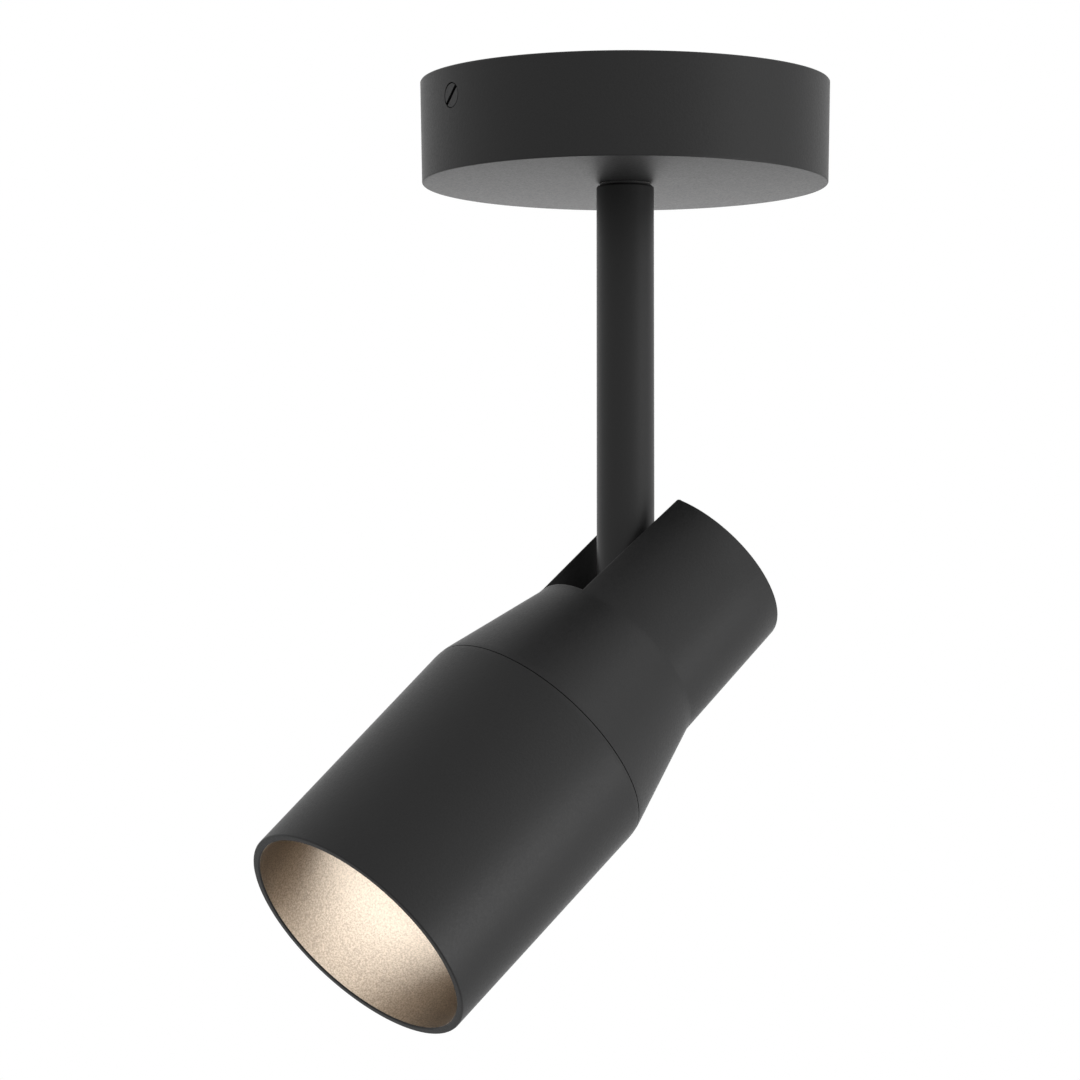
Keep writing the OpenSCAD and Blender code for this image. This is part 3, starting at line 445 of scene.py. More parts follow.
def turned_tree() -> NodeTree:
    """Builds the geometry tree that turns a profile round the Z axis.

    Returns:
        The tree.
    """
    tree, given, result = started(
        "turned_piece", "Geometry",
        {"Geometry": "Geometry", "Segments": 192, "Material": "Material"}, {"Geometry": "Geometry"})
    link = tree.links.new
    count = add(tree, "GeometryNodeAttributeDomainSize", component="MESH")
    link(given["Geometry"], count.inputs["Geometry"])
    across = maths(tree, "ADD", given["Segments"], 1.0)
    grid = add(tree, "GeometryNodeMeshGrid", Size_X=1.0, Size_Y=1.0)
    link(count.outputs["Point Count"], grid.inputs["Vertices X"])
    link(across, grid.inputs["Vertices Y"])
    index = add(tree, "GeometryNodeInputIndex").outputs[0]
    row = maths(tree, "FLOOR", maths(tree, "DIVIDE", maths(tree, "ADD", index, 0.5), across))
    column = maths(tree, "SUBTRACT", index, maths(tree, "MULTIPLY", row, across))
    share = maths(tree, "DIVIDE", column, given["Segments"])
    angle = maths(tree, "MULTIPLY", share, math.tau)
    sample = add(tree, "GeometryNodeSampleIndex", data_type="FLOAT_VECTOR", domain="POINT")
    link(given["Geometry"], sample.inputs["Geometry"])
    link(add(tree, "GeometryNodeInputPosition").outputs[0], sample.inputs["Value"])
    link(row, sample.inputs["Index"])
    split = add(tree, "ShaderNodeSeparateXYZ")
    link(sample.outputs["Value"], split.inputs[0])
    join = add(tree, "ShaderNodeCombineXYZ")
    for axis, turn in (("X", "COSINE"), ("Y", "SINE")):
        place = maths(tree, "MULTIPLY", split.outputs["X"], maths(tree, turn, angle))
        link(place, join.inputs[axis])
    link(split.outputs["Z"], join.inputs["Z"])
    move = add(tree, "GeometryNodeSetPosition")
    link(grid.outputs["Mesh"], move.inputs["Geometry"])
    link(join.outputs[0], move.inputs["Position"])
    merge = add(tree, "GeometryNodeMergeByDistance", Distance=SAME)
    link(move.outputs["Geometry"], merge.inputs["Geometry"])
    return ended(tree, merge.outputs["Geometry"], given, result)


TURNED = turned_tree()


def round_set_tree() -> NodeTree:
    """Builds the geometry tree that repeats one item at equal angles round the Z axis.

    Returns:
        The tree.
    """
    tree, given, result = started(
        "round_set", "Geometry",
        {"Geometry": "Geometry", "Count": 2, "Material": "Material"}, {"Geometry": "Geometry"})
    link = tree.links.new
    line = add(tree, "GeometryNodeMeshLine")
    link(given["Count"], line.inputs["Count"])
    line.inputs["Offset"].default_value = (0.0, 0.0, 0.0)
    index = add(tree, "GeometryNodeInputIndex").outputs[0]
    share = maths(tree, "DIVIDE", index, given["Count"])
    angle = maths(tree, "MULTIPLY", share, math.tau)
    turn = add(tree, "ShaderNodeCombineXYZ")
    link(angle, turn.inputs["Z"])
    spread = add(tree, "GeometryNodeInstanceOnPoints")
    link(line.outputs["Mesh"], spread.inputs["Points"])
    link(given["Geometry"], spread.inputs["Instance"])
    link(turn.outputs[0], spread.inputs["Rotation"])
    return ended(tree, spread.outputs["Instances"], given, result)


ROUND_SET = round_set_tree()


def socket_id(tree: NodeTree, name: str) -> str:
    """Gives the identifier of a tree's input by its name."""
    return next(s.identifier for s in tree.interface.items_tree
                if s.name == name and s.in_out == "INPUT")


def stood(name: str, data: ID) -> Object:
    """Puts data into the scene as a new object.

    Args:
        name: the object's name.
        data: its mesh, lamp or camera.

    Returns:
        The object.
    """
    thing = bpy.data.objects.new(name, data)
    bpy.context.scene.collection.objects.link(thing)
    return thing


def drawn(name: str, work: bmesh.types.BMesh) -> Object:
    """Makes an object of a bmesh and frees the bmesh.

    Args:
        name: the object's name.
        work: the bmesh, which is used up.

    Returns:
        The object.
    """
    mesh = bpy.data.meshes.new(name)
    work.to_mesh(mesh)
    work.free()
    return stood(name, mesh)


def outward(mesh: Mesh) -> None:
    """Merges a closed mesh's double points and turns its faces outwards.

    Args:
        mesh: the mesh to put right.
    """
    work = bmesh.new()
    work.from_mesh(mesh)
    bmesh.ops.remove_doubles(work, verts=work.verts, dist=SAME)
    bmesh.ops.recalc_face_normals(work, faces=work.faces)
    if work.calc_volume(signed=True) < 0:
        bmesh.ops.reverse_faces(work, faces=work.faces)
    work.to_mesh(mesh)
    work.free()


def soften(mesh: Mesh, degrees: float = 28.0) -> None:
    """Shades a mesh smooth and keeps creases over an angle."""
    mesh.shade_smooth()
    mesh.set_sharp_from_angle(angle=math.radians(degrees))


def carried_out(piece: Object) -> Object:
    """Turns the result of a piece's modifiers into its plain mesh.

    Args:
        piece: the piece.

    Returns:
        The piece, shaded smooth and with no modifier left.
    """
    bpy.context.view_layer.update()
    done = piece.evaluated_get(bpy.context.evaluated_depsgraph_get())
    mesh = bpy.data.meshes.new_from_object(done)
    piece.modifiers.clear()
    piece.data = mesh
    soften(mesh)
    return piece


def grown(name: str, start: Mesh, tree: NodeTree, values: dict[str, object]) -> Object:
    """Runs a geometry tree on a mesh and keeps the result as a plain mesh.

    Args:
        name: the new piece's name.
        start: the mesh the tree works on.
        tree: the geometry tree.
        values: the tree's inputs by name.

    Returns:
        The new piece.
    """
    piece = stood(name, start)
    modifier = piece.modifiers.new("grow", "NODES")
    modifier.node_group = tree
    for key, value in values.items():
        modifier[socket_id(tree, key)] = value
    return carried_out(piece)


def turned(name: str, profile: Profile, finish: Finish, segments: int = 192,
           place: Matrix | None = None) -> Object:
    """Makes a turned piece from a closed profile.

    Args:
        name: the piece's name.
        profile: points (radius, height) in mm, whose ends meet or lie on the axis.
        finish: what it is made of.
        segments: facets round the axis.
        place: where it goes in the frame.

    Returns:
        The piece.
    """
    mesh = bpy.data.meshes.new(name + "_profile")
    mesh.from_pydata([(r * MM, 0.0, z * MM) for r, z in profile],
                     [(i, i + 1) for i in range(len(profile) - 1)], [])
    piece = grown(name, mesh, TURNED, {"Segments": segments, "Material": WARDROBE.get(finish)})
    outward(piece.data)
    if place is not None:
        piece.data.transform(place)
    soften(piece.data)
    return piece


def cut(piece: Object, *tools: Object, how: str = "DIFFERENCE") -> None:
    """Cuts tools out of a piece, or joins them to it, and removes them.

    Args:
        piece: the piece that is cut.
        *tools: closed meshes to take away or add.
        how: DIFFERENCE or UNION.
    """
    for tool in tools:
        step = piece.modifiers.new("cut", "BOOLEAN")
        step.operation = how
        step.solver = "EXACT"
        step.object = tool
    carried_out(piece)
    for tool in tools:
        bpy.data.objects.remove(tool)


def block(name: str, low: Place, high: Place) -> Object:
    """Makes a box for cutting.

    Args:
        name: the box's name.
        low: its lowest corner in mm.
        high: its highest corner in mm.

    Returns:
        The box.
    """
    work = bmesh.new()
    bmesh.ops.create_cube(work, size=1.0)
    bmesh.ops.scale(work, vec=[(b - a) * MM for a, b in zip(low, high)], verts=work.verts)
    bmesh.ops.translate(work, vec=[(a + b) / 2 * MM for a, b in zip(low, high)], verts=work.verts)
    return drawn(name, work)


def round_set(name: str, item: Object, count: int, finish: Finish) -> Object:
    """Repeats an item round the Z axis and keeps the result as one piece.

    Args:
        name: the piece's name.
        item: the item at angle 0, which is used up.
        count: how many there are.
        finish: what they are made of.

    Returns:
        The piece.
    """
    piece = grown(name, item.data, ROUND_SET, {"Count": count, "Material": WARDROBE.get(finish)})
    bpy.data.objects.remove(item)
    return piece


def rounded_edges(piece: Object, width: float, steps: int = 3, over: float = 40.0,
                  marked: bool = False) -> None:
    """Rounds a piece's creases.

    Args:
        piece: the piece.
        width: width of the rounding in mm.
        steps: facets of the rounding.
        over: creases sharper than this many degrees are rounded.
        marked: round the edges that carry a bevel weight instead.
    """
    bevel = piece.modifiers.new("rounding", "BEVEL")
    bevel.width = width * MM
    bevel.segments = steps
    bevel.limit_method = "WEIGHT" if marked else "ANGLE"
    bevel.angle_limit = math.radians(over)
    bevel.use_clamp_overlap = not marked
    bevel.miter_outer = "MITER_SHARP"
    carried_out(piece)


# The object


class Body(Enum):
    """The bodies that carry the scene's own pieces."""

    CANOPY = "canopy"
    STEM = "stem"
    HEAD = "head"
    BARREL = "barrel"
    LAMP = "lamp"


def settle(piece: Object, body: Body, node: str) -> None:
    """Dresses a piece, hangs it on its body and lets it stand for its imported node.

    Args:
        piece: the piece, in its place at rest.
        body: the body that carries it.
        node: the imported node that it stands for, which gives it its finish.
    """
    finish = FINISHES[node]
    WARDROBE.dress(piece, finish)
    log.info("%s for %s: %d faces", piece.name, node, len(piece.data.polygons))
    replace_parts(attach(piece, body.value), node)


def moved(x: float, y: float, z: float) -> Matrix:
    """Gives a move in mm."""
    return Matrix.Translation((x * MM, y * MM, z * MM))


def spun(degrees: float, axis: str) -> Matrix:
    """Gives a turn about an axis of the frame."""
    return Matrix.Rotation(math.radians(degrees), 4, axis)


HINGE_DROP = 138.0
TILT = 47.0
HEAD = moved(0.0, 0.0, -HINGE_DROP) @ spun(-TILT, "X")


@dataclass
class Canopy:
    """The cup on the ceiling, with the holes for its two screws."""

    radius: float = 50.0
    foot_radius: float = 49.5
    height: float = 25.0
    wall: float = 1.8
    floor: float = 2.5
    edge: float = 0.4
    inner: float = 1.5
    bore: float = 6.08
    bore_edge: float = 0.15
    rim: float = 0.2
    rim_drop: float = 0.25
    rim_in: float = 0.02
    screw_drop: float = 7.2
    screw_hole: float = 3.12
    drill_from: float = 54.0
    drill_length: float = 8.0
    drill_segments: int = 64
    segments: int = 288

    def build(self) -> None:
        """Turns the cup and drills it from both sides."""
        top, mouth = self.floor - self.height, self.radius - self.wall
        inside = self.foot_radius - self.wall - self.inner
        profile = [(self.bore, top), (self.bore, self.bore_edge - self.height),
                   (self.bore + self.bore_edge, -self.height)]
        profile += arc(self.foot_radius - self.edge, self.edge - self.height, self.edge, -90, 0)
        profile += [(self.radius - self.rim_in, -self.rim_drop), (self.radius - self.rim, 0.0),
                    (mouth + self.rim, 0.0), (mouth, -self.rim)]
        profile += arc(inside, top + self.inner, self.inner, 0, -90)
        profile += [profile[0]]
        cup = turned("canopy_cup_shell", profile, POWDER_BLACK, self.segments)
        hole = [(0, 0), (self.screw_hole, 0), (self.screw_hole, self.drill_length),
                (0, self.drill_length)]
        drills = []
        for side in (1, -1):
            place = moved(0, -side * self.drill_from, -self.screw_drop) @ spun(-90 * side, "X")
            drills.append(turned("drill", hole, POWDER_BLACK, self.drill_segments, place))
        cut(cup, *drills)
        settle(cup, Body.CANOPY, "canopy_cup")


@dataclass
class CanopyScrews:
    """The canopy's two flush screws, measured from the canopy's axis."""

    face: float = 49.77
    head: float = 2.95
    head_edge: float = 0.12
    seat: float = 47.26
    shank: float = 2.0
    tip: float = 42.97
    tip_edge: float = 0.4
    drop: float = Canopy.screw_drop
    count: int = 2
    slot_width: float = 1.0
    slot_depth: float = 1.3
    slot_turn: float = 45.0
    over: float = 1.0
    reach: float = 5.0
    segments: int = 64

    def build(self) -> None:
        """Turns one screw, cuts its driver slot and sets the pair."""
        profile = [(0, self.face), (self.head - self.head_edge, self.face),
                   (self.head, self.face - self.head_edge), (self.head, self.seat),
                   (self.shank, self.seat), (self.shank, self.tip + self.tip_edge),
                   (self.shank - self.tip_edge, self.tip), (0, self.tip)]
        screw = turned("screw", profile, SCREW_BLACK, self.segments)
        bar = block("bar", (-self.reach, -self.slot_width / 2, self.face - self.slot_depth),
                    (self.reach, self.slot_width / 2, self.face + self.over))
        bar.data.transform(spun(self.slot_turn, "Z"))
        cut(screw, bar)
        screw.data.transform(moved(0, 0, -self.drop) @ spun(90, "X"))
        pair = round_set("canopy_screws_turned", screw, self.count, SCREW_BLACK)
        settle(pair, Body.CANOPY, "canopy_screws")


@dataclass
class Stem:
    """The tube between canopy and head."""

    radius: float = 7.0
    bore: float = 5.5
    thread: float = 5.03
    thread_end: float = -39.05
    top: float = -25.55
    foot: float = -127.0
    edge: float = 0.6
    segments: int = 160

    def build(self) -> None:
        """Turns the tube."""
        profile = [(self.thread, self.top)]
        profile += arc(self.radius - self.edge, self.top - self.edge, self.edge, 90, 0)
        profile += [(self.radius, self.foot), (self.bore, self.foot), (self.bore, self.thread_end),
                    (self.thread, self.thread_end), (self.thread, self.top)]
        tube = turned("stem_tube_turned", profile, SATIN_BLACK, self.segments)
        settle(tube, Body.STEM, "stem_tube")


@dataclass
class RearHousing:
    """The slotted housing behind the barrel, with its spigot and hinge pads.

    The two turns, in degrees, keep the facets of round cutters off the slot's flat faces.
    """

    back: float = 30.0
    end_radius: float = 23.7
    end_edge: float = 0.5
    end_steps: int = 4
    wall_rows: tuple[float, ...] = (20.0, 10.0, 0.0, -3.6)
    front_radius: float = 24.3
    cone_start: float = 6.0
    bend: Places = ((-0.02, -0.5), (0.02, 0.1))
    cone_rows: tuple[float, ...] = (2.0, 14.0)
    seam: float = 35.6
    barrel_radius: float = 31.7
    shoulder: float = 15.0
    shoulder_t: float = 1.846
    shoulder_steps: int = 8
    slot_front: float = 9.8
    slot_rear: float = 11.2
    slot_at: float = 4.6
    slot_deep: float = 8.6
    bulge: float = 0.4
    over: float = 3.0
    reach: float = 30.0
    pocket: float = 8.8
    pocket_end: float = 9.28
    pad: float = 7.4
    pad_from: float = 9.3
    pad_to: float = 14.0
    pin_hole: float = 3.05
    pin_end: float = 12.5
    bulkhead: float = 11.0
    cable_hole: float = 3.7
    cable_hole_end: float = 8.0
    funnel: float = 23.1
    funnel_from: float = 28.8
    spigot: float = 30.45
    spigot_bore: float = 27.6
    spigot_end: float = 47.6
    spigot_edge: float = 0.3
    groove: float = 28.63
    groove_from: float = 42.1
    groove_to: float = 44.0
    rim: float = 0.5
    rim_side: float = 12.5
    rim_in: float = 1.0
    rim_flush: float = 0.01
    rim_crease: float = 40.0
    bottom_turn: float = 0.9
    rod_turn: float = 1.3
    rod_segments: int = 96
    core: float = 12.0
    core_angle: float = 27.0
    beside: float = 1.6
    columns_beside: int = 10
    columns_round: int = 112

    def half_width(self, z: float) -> float:
        """Gives the slot's half-width at a height on the head."""
        share = (z + self.slot_at) / (self.back + self.slot_at)
        return self.slot_front + (self.slot_rear - self.slot_front) * share

    def profile(self) -> Profile:
        """Gives the shell's closed profile from the rear's middle round to the bulkhead.

        Returns:
            Points (radius, height) in mm.
        """
        slope = (self.barrel_radius - self.front_radius) / (self.seam - self.cone_start)
        angle = math.degrees(math.atan(slope))
        last = math.degrees(math.asin(self.shoulder_t / self.shoulder))
        points = [(0.0, self.back)]
        points += arc(self.end_radius - self.end_edge, self.back - self.end_edge, self.end_edge,
                      90, 0, self.end_steps)
        wall = self.front_radius - self.end_radius
        for z in self.wall_rows:
            share = (self.back - z) / (self.back + self.cone_start)
            points.append((self.end_radius + wall * share, z))
        points += [(self.front_radius + r, -self.cone_start - z) for r, z in self.bend]
        points += [(self.front_radius + slope * z, -self.cone_start - z) for z in self.cone_rows]
        points += arc(self.barrel_radius - self.shoulder, -self.seam - self.shoulder_t,
                      self.shoulder, angle, last, self.shoulder_steps)
        points += [(self.spigot, -self.seam), (self.spigot, -self.groove_from),
                   (self.groove, -self.groove_from), (self.groove, -self.groove_to),
                   (self.spigot, -self.groove_to),
                   (self.spigot, self.spigot_edge - self.spigot_end),
                   (self.spigot - self.spigot_edge, -self.spigot_end),
                   (self.spigot_bore, -self.spigot_end), (self.spigot_bore, -self.funnel_from),
                   (self.funnel, -self.bulkhead), (self.cable_hole, -self.bulkhead),
                   (self.cable_hole, -self.cable_hole_end), (0.0, -self.cable_hole_end)]
        return points

    def columns(self, z: float, radius: float) -> list[float]:
        """Spreads the shell's columns so that two run beside each edge of the slot.

        Args:
            z: height of the row in mm.
            radius: radius of the row in mm.

        Returns:
            Angles in degrees from the slot's middle, once round.
        """
        if radius < self.core:
            edge = self.core_angle
        else:
            at = max(z, -self.slot_at)
            outer = max(radius, self.end_radius) if z > -self.slot_at else self.front_radius
            edge = math.degrees(math.asin(self.half_width(min(at, self.back)) / outer))
        near = [(edge - self.beside) * (i / self.columns_beside)
                for i in range(self.columns_beside + 1)]
        first, count = edge + self.beside, self.columns_round
        far = [first + (360.0 - 2 * first) * i / count for i in range(count + 1)]
        return near + far + [360.0 - a for a in reversed(near[1:])]

    def shell(self) -> Object:
        """Lofts the shell round the axis, with its slot's middle on -Y.

        Returns:
            The shell before it is cut.
        """
        work = bmesh.new()
        rows = []
        for r, z in self.profile():
            if r == 0.0:
                rows.append([work.verts.new((0.0, 0.0, z * MM))])
                continue
            rows.append([work.verts.new((r * MM * math.sin(math.radians(a)),
                                         -r * MM * math.cos(math.radians(a)), z * MM))
                         for a in self.columns(z, r)])
        for a, b in zip(rows, rows[1:]):
            n = max(len(a), len(b))
            for i in range(n):
                j = (i + 1) % n
                ring = [a[i % len(a)], a[j % len(a)], b[j % len(b)], b[i % len(b)]]
                work.faces.new(list(dict.fromkeys(ring)))
        shell = drawn("rear_housing_shell", work)
        outward(shell.data)
        return shell

    def room(self) -> Object:
        """Makes the closed shape of the stem's room: slot, round bottom and the knuckle's pocket.

        Returns:
            The shape, less the two hinge pads that stand out from the cheeks.
        """
        top = self.back + self.over
        lean = (self.slot_deep - self.slot_at) / self.front_radius
        corners = [(side * self.half_width(z) * MM, y * MM, z * MM) for y in (-self.reach, 0.0)
                   for z in (-self.slot_deep - lean * y, top) for side in (-1, 1)]
        mesh = bpy.data.meshes.new("slot")
        mesh.from_pydata(corners, [], [(0, 1, 3, 2), (4, 6, 7, 5), (0, 2, 6, 4), (1, 5, 7, 3),
                                       (0, 4, 5, 1), (2, 3, 7, 6)])
        outward(mesh)
        slot = stood("slot", mesh)
        low, high = self.half_width(0) + self.bulge, self.half_width(top) + self.bulge
        bottom = turned("bottom", [(0, 0), (low, 0), (high, top), (0, top)], POWDER_BLACK,
                        self.rod_segments, spun(self.bottom_turn, "Z"))
        cut(slot, bottom, self.rod(self.pocket, -self.pocket_end, self.pocket_end), how="UNION")
        cut(slot, self.rod(self.pad, self.pad_from, self.pad_to),
            self.rod(self.pad, -self.pad_to, -self.pad_from))
        return slot

    def rod(self, radius: float, x0: float, x1: float) -> Object:
        """Makes a cylinder along the hinge between two distances from the middle, in mm."""
        return turned("rod", [(0, x0), (radius, x0), (radius, x1), (0, x1)], POWDER_BLACK,
                      self.rod_segments, spun(90, "Y") @ spun(self.rod_turn, "Z"))

    def mark_rims(self, mesh: Mesh) -> None:
        """Marks the slot's sharp rims for rounding, on the wall and on the rear end.

        Args:
            mesh: the housing's mesh after the cuts.
        """
        work = bmesh.new()
        work.from_mesh(mesh)
        bmesh.ops.remove_doubles(work, verts=work.verts, dist=NEAR)
        bmesh.ops.dissolve_degenerate(work, dist=NEAR, edges=work.edges)
        weight = work.edges.layers.float.new("bevel_weight_edge")
        crease = math.radians(self.rim_crease)
        for edge in work.edges:
            if len(edge.link_faces) != 2 or edge.calc_face_angle(0.0) < crease:
                continue
            x, y, z = (edge.verts[0].co + edge.verts[1].co) / 2 / MM
            out = math.hypot(x, y)
            on_wall = (out > (self.slot_front + self.end_radius) / 2 and y < 0.0
                       and z > -self.slot_deep and abs(x) < self.rim_side)
            on_end = z > self.back - self.rim_flush and out < self.end_radius - self.rim_in
            if on_wall or on_end:
                edge[weight] = 1.0
        work.to_mesh(mesh)
        work.free()

    def build(self) -> None:
        """Cuts the shell, rounds its rims and puts it in place."""
        shell = self.shell()
        cut(shell, self.room(), self.rod(self.pin_hole, -self.pin_end, self.pin_end))
        self.mark_rims(shell.data)
        rounded_edges(shell, self.rim, marked=True)
        shell.data.transform(HEAD)
        settle(shell, Body.HEAD, "rear_housing")


@dataclass
class Barrel:
    """The front barrel and its liner."""

    radius: float = RearHousing.barrel_radius
    bore: float = 30.5
    seam: float = RearHousing.seam
    seam_gap: float = 0.22
    mouth: float = 103.2
    mouth_bore: float = 29.8
    mouth_edge: float = 0.3
    lip: float = 0.35
    edge: float = 0.4
    shoulder: float = RearHousing.shoulder
    shoulder_t: float = RearHousing.shoulder_t
    shoulder_steps: int = 10
    liner_floor: float = 69.43
    liner_hole: float = 25.4
    liner: float = 0.7
    liner_fit: float = 0.03
    liner_round: float = 1.5
    segments: int = 256

    def build(self) -> None:
        """Makes the barrel and its liner."""
        self.tube()
        self.lining()

    def tube(self) -> None:
        """Turns the barrel."""
        first = math.degrees(math.asin((self.shoulder_t - self.seam_gap) / self.shoulder))
        profile = [(self.bore, -self.seam - self.seam_gap)]
        profile += arc(self.radius - self.shoulder, -self.seam - self.shoulder_t, self.shoulder,
                       first, 0, self.shoulder_steps)
        profile += arc(self.radius - self.edge, self.edge - self.mouth, self.edge, 0, -90)
        profile += [(self.mouth_bore + self.mouth_edge, -self.mouth),
                    (self.mouth_bore, self.mouth_edge - self.mouth),
                    (self.mouth_bore, self.lip - self.mouth), (self.bore, self.lip - self.mouth)]
        profile += [profile[0]]
        tube = turned("front_barrel_turned", profile, POWDER_BLACK, self.segments, HEAD)
        settle(tube, Body.BARREL, "front_barrel")

    def lining(self) -> None:
        """Turns the champagne liner."""
        out = self.bore - self.liner_fit
        inner, turn = out - self.liner, self.liner_round
        back, front = -self.liner_floor, self.lip - self.mouth
        profile = [(self.liner_hole, back), (out, back), (out, front), (inner, front)]
        profile += arc(inner - turn, back - self.liner - turn, turn, 0, 90)
        profile += [(self.liner_hole, back - self.liner), (self.liner_hole, back)]
        lining = turned("reflector_liner_turned", profile, CHAMPAGNE, self.segments, HEAD)
        settle(lining, Body.BARREL, "reflector_liner")


@dataclass
class Lamp:
    """The front glass of the lamp, with the fine rings that spread its light."""

    face: float = 71.75
    radius: float = 24.1
    back: float = 69.48
    edge: float = 0.15
    dome: float = 0.9
    rings: int = 22
    ring_from: float = 3.0
    ring_to: float = 22.6
    ring_height: float = 0.16
    ring_shape: Places = ((0.0, 1.0), (0.3, 0.3), (0.55, 0.0), (0.8, 0.35))
    pip: float = 1.2

    def surface(self, r: float) -> float:
        """Gives the height of the smooth dome at a radius, in mm on the head."""
        return self.dome * (r / self.radius) ** 2 - self.face

    def build(self) -> None:
        """Turns the ringed glass."""
        inside, rim = self.radius - self.edge, self.surface(self.radius)
        profile = [(0.0, -self.back), (inside, -self.back), (self.radius, -self.back - self.edge),
                   (self.radius, rim + self.edge), (inside, rim)]
        step = (self.ring_to - self.ring_from) / self.rings
        for i in range(self.rings):
            r = self.ring_to - i * step
            profile += [(r - step * share, self.surface(r) + self.ring_height * height)
                        for share, height in self.ring_shape]
        profile += [(self.ring_from - step / 2, self.surface(self.ring_from)),
                    (self.pip, self.surface(self.pip)), (0.0, self.surface(0.0))]
        glass = turned("lamp_lens_ringed", profile, LAMP_FRONT, place=HEAD)
        settle(glass, Body.LAMP, "lamp_lens")


@dataclass(frozen=True)
class Easing:
    """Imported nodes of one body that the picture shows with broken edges.

    Args:
        body: the body that carries them.
        widths: width of the broken edge in mm, by node.
        steps: facets of the edge.
        over: degrees over which a crease is broken.
        flat: degrees under which facets are merged first.
    """

    body: Body
    widths: dict[str, float]
    steps: int = 2
    over: float = 35.0
    flat: float = 0.6

    def build(self) -> None:
        """Breaks the edges on copies of the nodes' meshes, which stand for the nodes."""
        for node, width in self.widths.items():
            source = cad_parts[node]
            work = bmesh.new()
            work.from_mesh(source.data)
            work.transform(source.matrix_world)
            bmesh.ops.remove_doubles(work, verts=work.verts, dist=SAME)
            bmesh.ops.dissolve_limit(work, angle_limit=math.radians(self.flat),
                                     verts=work.verts, edges=work.edges)
            piece = drawn(node + "_eased", work)
            rounded_edges(piece, width, self.steps, self.over)
            settle(piece, self.body, node)


EASINGS = (
    Easing(Body.CANOPY, {
        "ceiling_bracket": 0.15, "terminal_block": 0.4, "terminal_sleeves": 0.1,
        "terminal_screws": 0.1, "block_screw": 0.15, "earth_screw": 0.15, "earth_tag": 0.08,
        "cable_grommet": 0.35, "swivel_bush": 0.15, "stop_pin": 0.15}),
    Easing(Body.STEM, {
        "stop_tab": 0.1, "top_washer": 0.12, "swivel_nut": 0.25, "stem_nipple": 0.2,
        "stem_knuckle": 0.25, "pivot_pins": 0.2, "friction_washers": 0.06}),
    Easing(Body.HEAD, {
        "cable_bush": 0.15, "lampholder_bracket": 0.12, "bracket_screws": 0.15,
        "lampholder": 0.3, "lampholder_screws": 0.15}),
    Easing(Body.LAMP, {"lamp_body": 0.2, "lamp_pins": 0.15}),
)


FINISHES: dict[str, Finish] = {node: finish for finish, nodes in (
    (POWDER_BLACK, "canopy_cup rear_housing front_barrel"),
    (SATIN_BLACK, "stem_tube stem_knuckle"),
    (SCREW_BLACK, "canopy_screws grub_screws"),
    (CHAMPAGNE, "reflector_liner"),
    (ZINC, "ceiling_bracket terminal_screws block_screw earth_tag stop_pin stop_tab top_washer "
           "pivot_pins lampholder_bracket bracket_screws lampholder_screws lamp_pins"),
    (BRASS, "terminal_sleeves earth_screw stem_nipple swivel_nut lampholder_contacts"),
    (SPRING, "swivel_spring hinge_springs"),
    (BLOCK_WHITE, "terminal_block"),
    (NYLON_BLACK, "thrust_washer"),
    (NYLON_WHITE, "swivel_bush cable_bush"),
    (FIBRE, "friction_washers"),
    (RUBBER_BLACK, "spigot_oring"),
    (RUBBER_GREY, "cable_grommet"),
    (WIRE_BROWN, "line_lead"),
    (WIRE_BLUE, "neutral_lead"),
    (WIRE_GREEN, "earth_lead"),
    (SHEATH, "stem_cable head_cable"),
    (STEATITE, "lampholder"),
    (LAMP_BODY, "lamp_body"),
    (LAMP_FRONT, "lamp_lens"),
) for node in nodes.split()}


def dress_cad_nodes() -> None:
    """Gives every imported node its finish."""
    for name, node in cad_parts.items():
        WARDROBE.dress(node, FINISHES[name])


# The studio


@dataclass(frozen=True)
class Softbox:
    """A square lamp that faces the object.

    Args:
        name: the lamp's name.
        place: where it hangs, in metres.
        power: its power in watts.
        side: its side in metres.
    """

    name: str
    place: Place
    power: float
    side: float = 0.7

    def hang(self, aim: Place) -> None:
        """Hangs the lamp so that it faces a point.

        Args:
            aim: the point, in metres.
        """
        data = bpy.data.lights.new(self.name, "AREA")
        data.size = self.side
        data.energy = self.power
        way = Vector(aim) - Vector(self.place)
        turn = way.to_track_quat("-Z", "Y").to_matrix().to_4x4()
        stood(self.name, data).matrix_world = Matrix.Translation(self.place) @ turn


SOFTBOXES = (
    Softbox("key", (0.871, 0.622, -0.637), 7.0),
    Softbox("high", (0.832, 0.593, 0.47), 2.17),
    Softbox("back", (-1.004, 0.627, -0.13), 1.6),
)


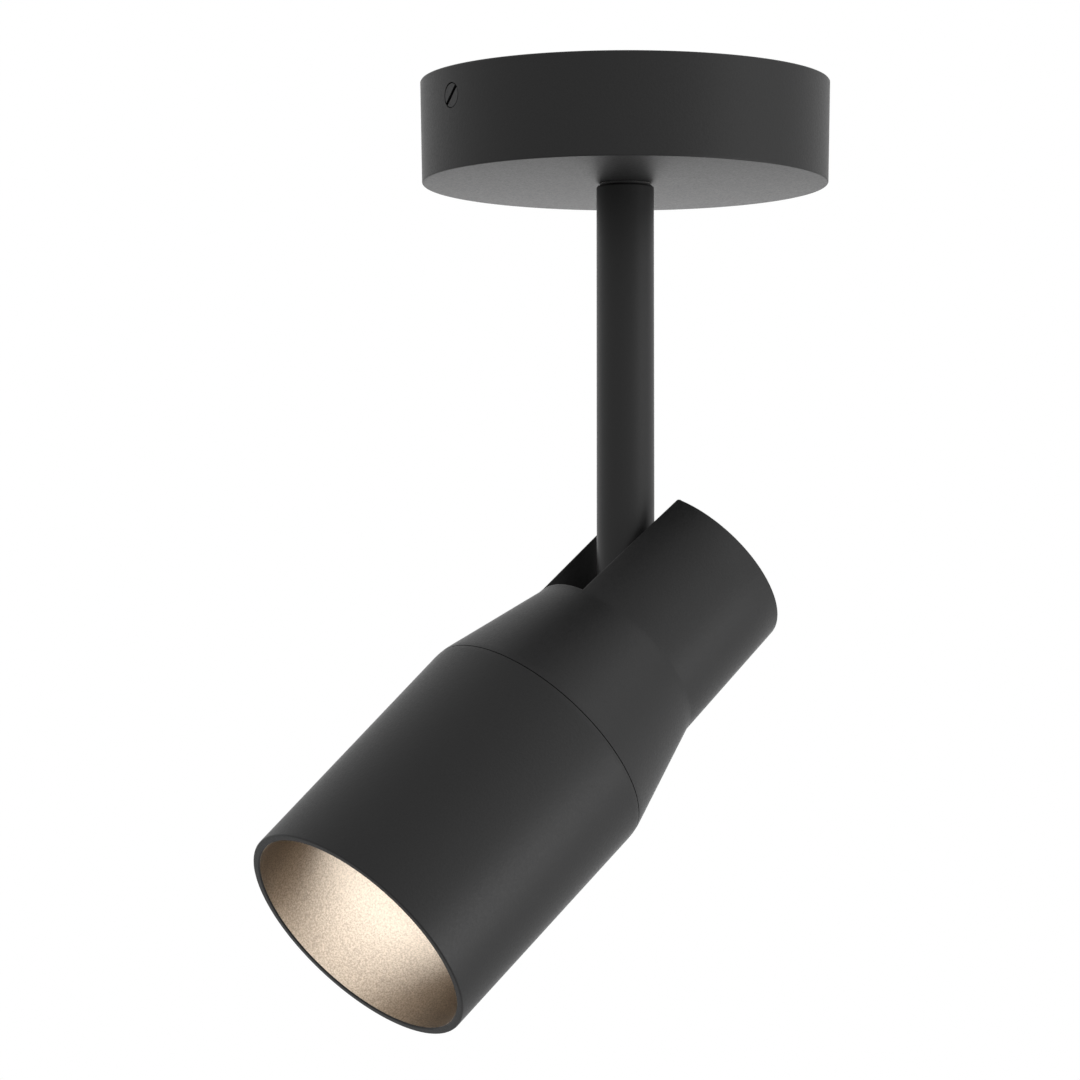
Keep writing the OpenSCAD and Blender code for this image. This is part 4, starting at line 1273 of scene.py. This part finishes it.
@dataclass
class Studio:
    """Floor, background, lamps and the camera, which was fitted to the photograph."""

    floor_z: float = -2.3
    floor_side: float = 6.1
    floor_colour: float = 0.86
    floor_roughness: float = 0.9
    floor_white: float = 0.5
    fill: float = 0.3
    backdrop: float = 1.0
    aim: Place = (0.0, -0.03, -0.13)
    eye: Place = (1.24626, -0.81530, -0.229649)
    ahead: Place = (-0.84171, 0.53404, 0.07959)
    above: Place = (0.06720, -0.04264, 0.99683)
    sensor: float = 36.0
    focal_px: float = 6158.1
    row_px: float = 534.736
    near: float = 0.05
    far: float = 50.0

    def camera(self) -> None:
        """Places the camera where the photograph was taken from."""
        data = bpy.data.cameras.new("camera")
        data.sensor_width = self.sensor
        data.lens = self.focal_px / PHOTO_SIDE * self.sensor
        data.shift_y = (self.row_px - PHOTO_SIDE / 2) / PHOTO_SIDE
        data.clip_start, data.clip_end = self.near, self.far
        ahead = Vector(self.ahead).normalized()
        right = ahead.cross(Vector(self.above)).normalized()
        up = right.cross(ahead)
        turn = Matrix((right, up, -ahead)).transposed().to_4x4()
        camera = stood("camera", data)
        camera.matrix_world = Matrix.Translation(self.eye) @ turn
        bpy.context.scene.camera = camera

    def seen(self, tree: NodeTree) -> NodeSocket:
        """Tells the rays that show the background from those that light the object.

        Args:
            tree: the material's or world's tree.

        Returns:
            A socket that is 1 for camera, glossy and transmission rays.
        """
        path = add(tree, "ShaderNodeLightPath")
        straight = maths(tree, "MAXIMUM", path.outputs["Is Camera Ray"],
                         path.outputs["Is Transmission Ray"])
        return maths(tree, "MAXIMUM", straight, path.outputs["Is Glossy Ray"])

    def floor(self) -> None:
        """Lays the pale floor, which looks near white and keeps the object's shadow."""
        mesh = bpy.data.meshes.new("floor")
        corners = [(x * self.floor_side, y * self.floor_side, self.floor_z)
                   for x, y in ((-1, -1), (1, -1), (1, 1), (-1, 1))]
        mesh.from_pydata(corners, [], [(0, 1, 2, 3)])
        floor = stood("floor", mesh)
        material = bpy.data.materials.new("floor_paper")
        material.use_nodes = True
        tree = material.node_tree
        shader = tree.nodes["Principled BSDF"]
        for name, value in (("Base Color", (*[self.floor_colour] * 3, 1.0)),
                            ("Roughness", self.floor_roughness), ("Emission Color", WHITE)):
            shader.inputs[name].default_value = value
        lift = maths(tree, "MULTIPLY", self.seen(tree), self.floor_white)
        tree.links.new(lift, shader.inputs["Emission Strength"])
        mesh.materials.append(material)

    def world(self) -> None:
        """Makes the white surroundings, plainer for the light that falls on the object."""
        world = bpy.data.worlds.new("surroundings")
        bpy.context.scene.world = world
        world.use_nodes = True
        tree = world.node_tree
        tree.nodes.clear()
        mix = add(tree, "ShaderNodeMixShader")
        tree.links.new(self.seen(tree), mix.inputs[0])
        for i, strength in enumerate((self.fill, self.backdrop), start=1):
            light = add(tree, "ShaderNodeBackground", Color=WHITE, Strength=strength)
            tree.links.new(light.outputs[0], mix.inputs[i])
        tree.links.new(mix.outputs[0], add(tree, "ShaderNodeOutputWorld").inputs[0])

    def build(self) -> None:
        """Sets up everything that isn't the object."""
        self.camera()
        self.floor()
        self.world()
        for softbox in SOFTBOXES:
            softbox.hang(self.aim)
        bpy.context.scene.view_settings.view_transform = "Standard"


def main() -> None:
    """Builds the studio, the visible pieces and the finishes."""
    logging.basicConfig(level=logging.INFO, format="%(message)s")
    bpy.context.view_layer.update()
    Studio().build()
    dress_cad_nodes()
    for part in (Canopy(), CanopyScrews(), Stem(), RearHousing(), Barrel(), Lamp(), *EASINGS):
        part.build()


if __name__ == "__main__":
    main()
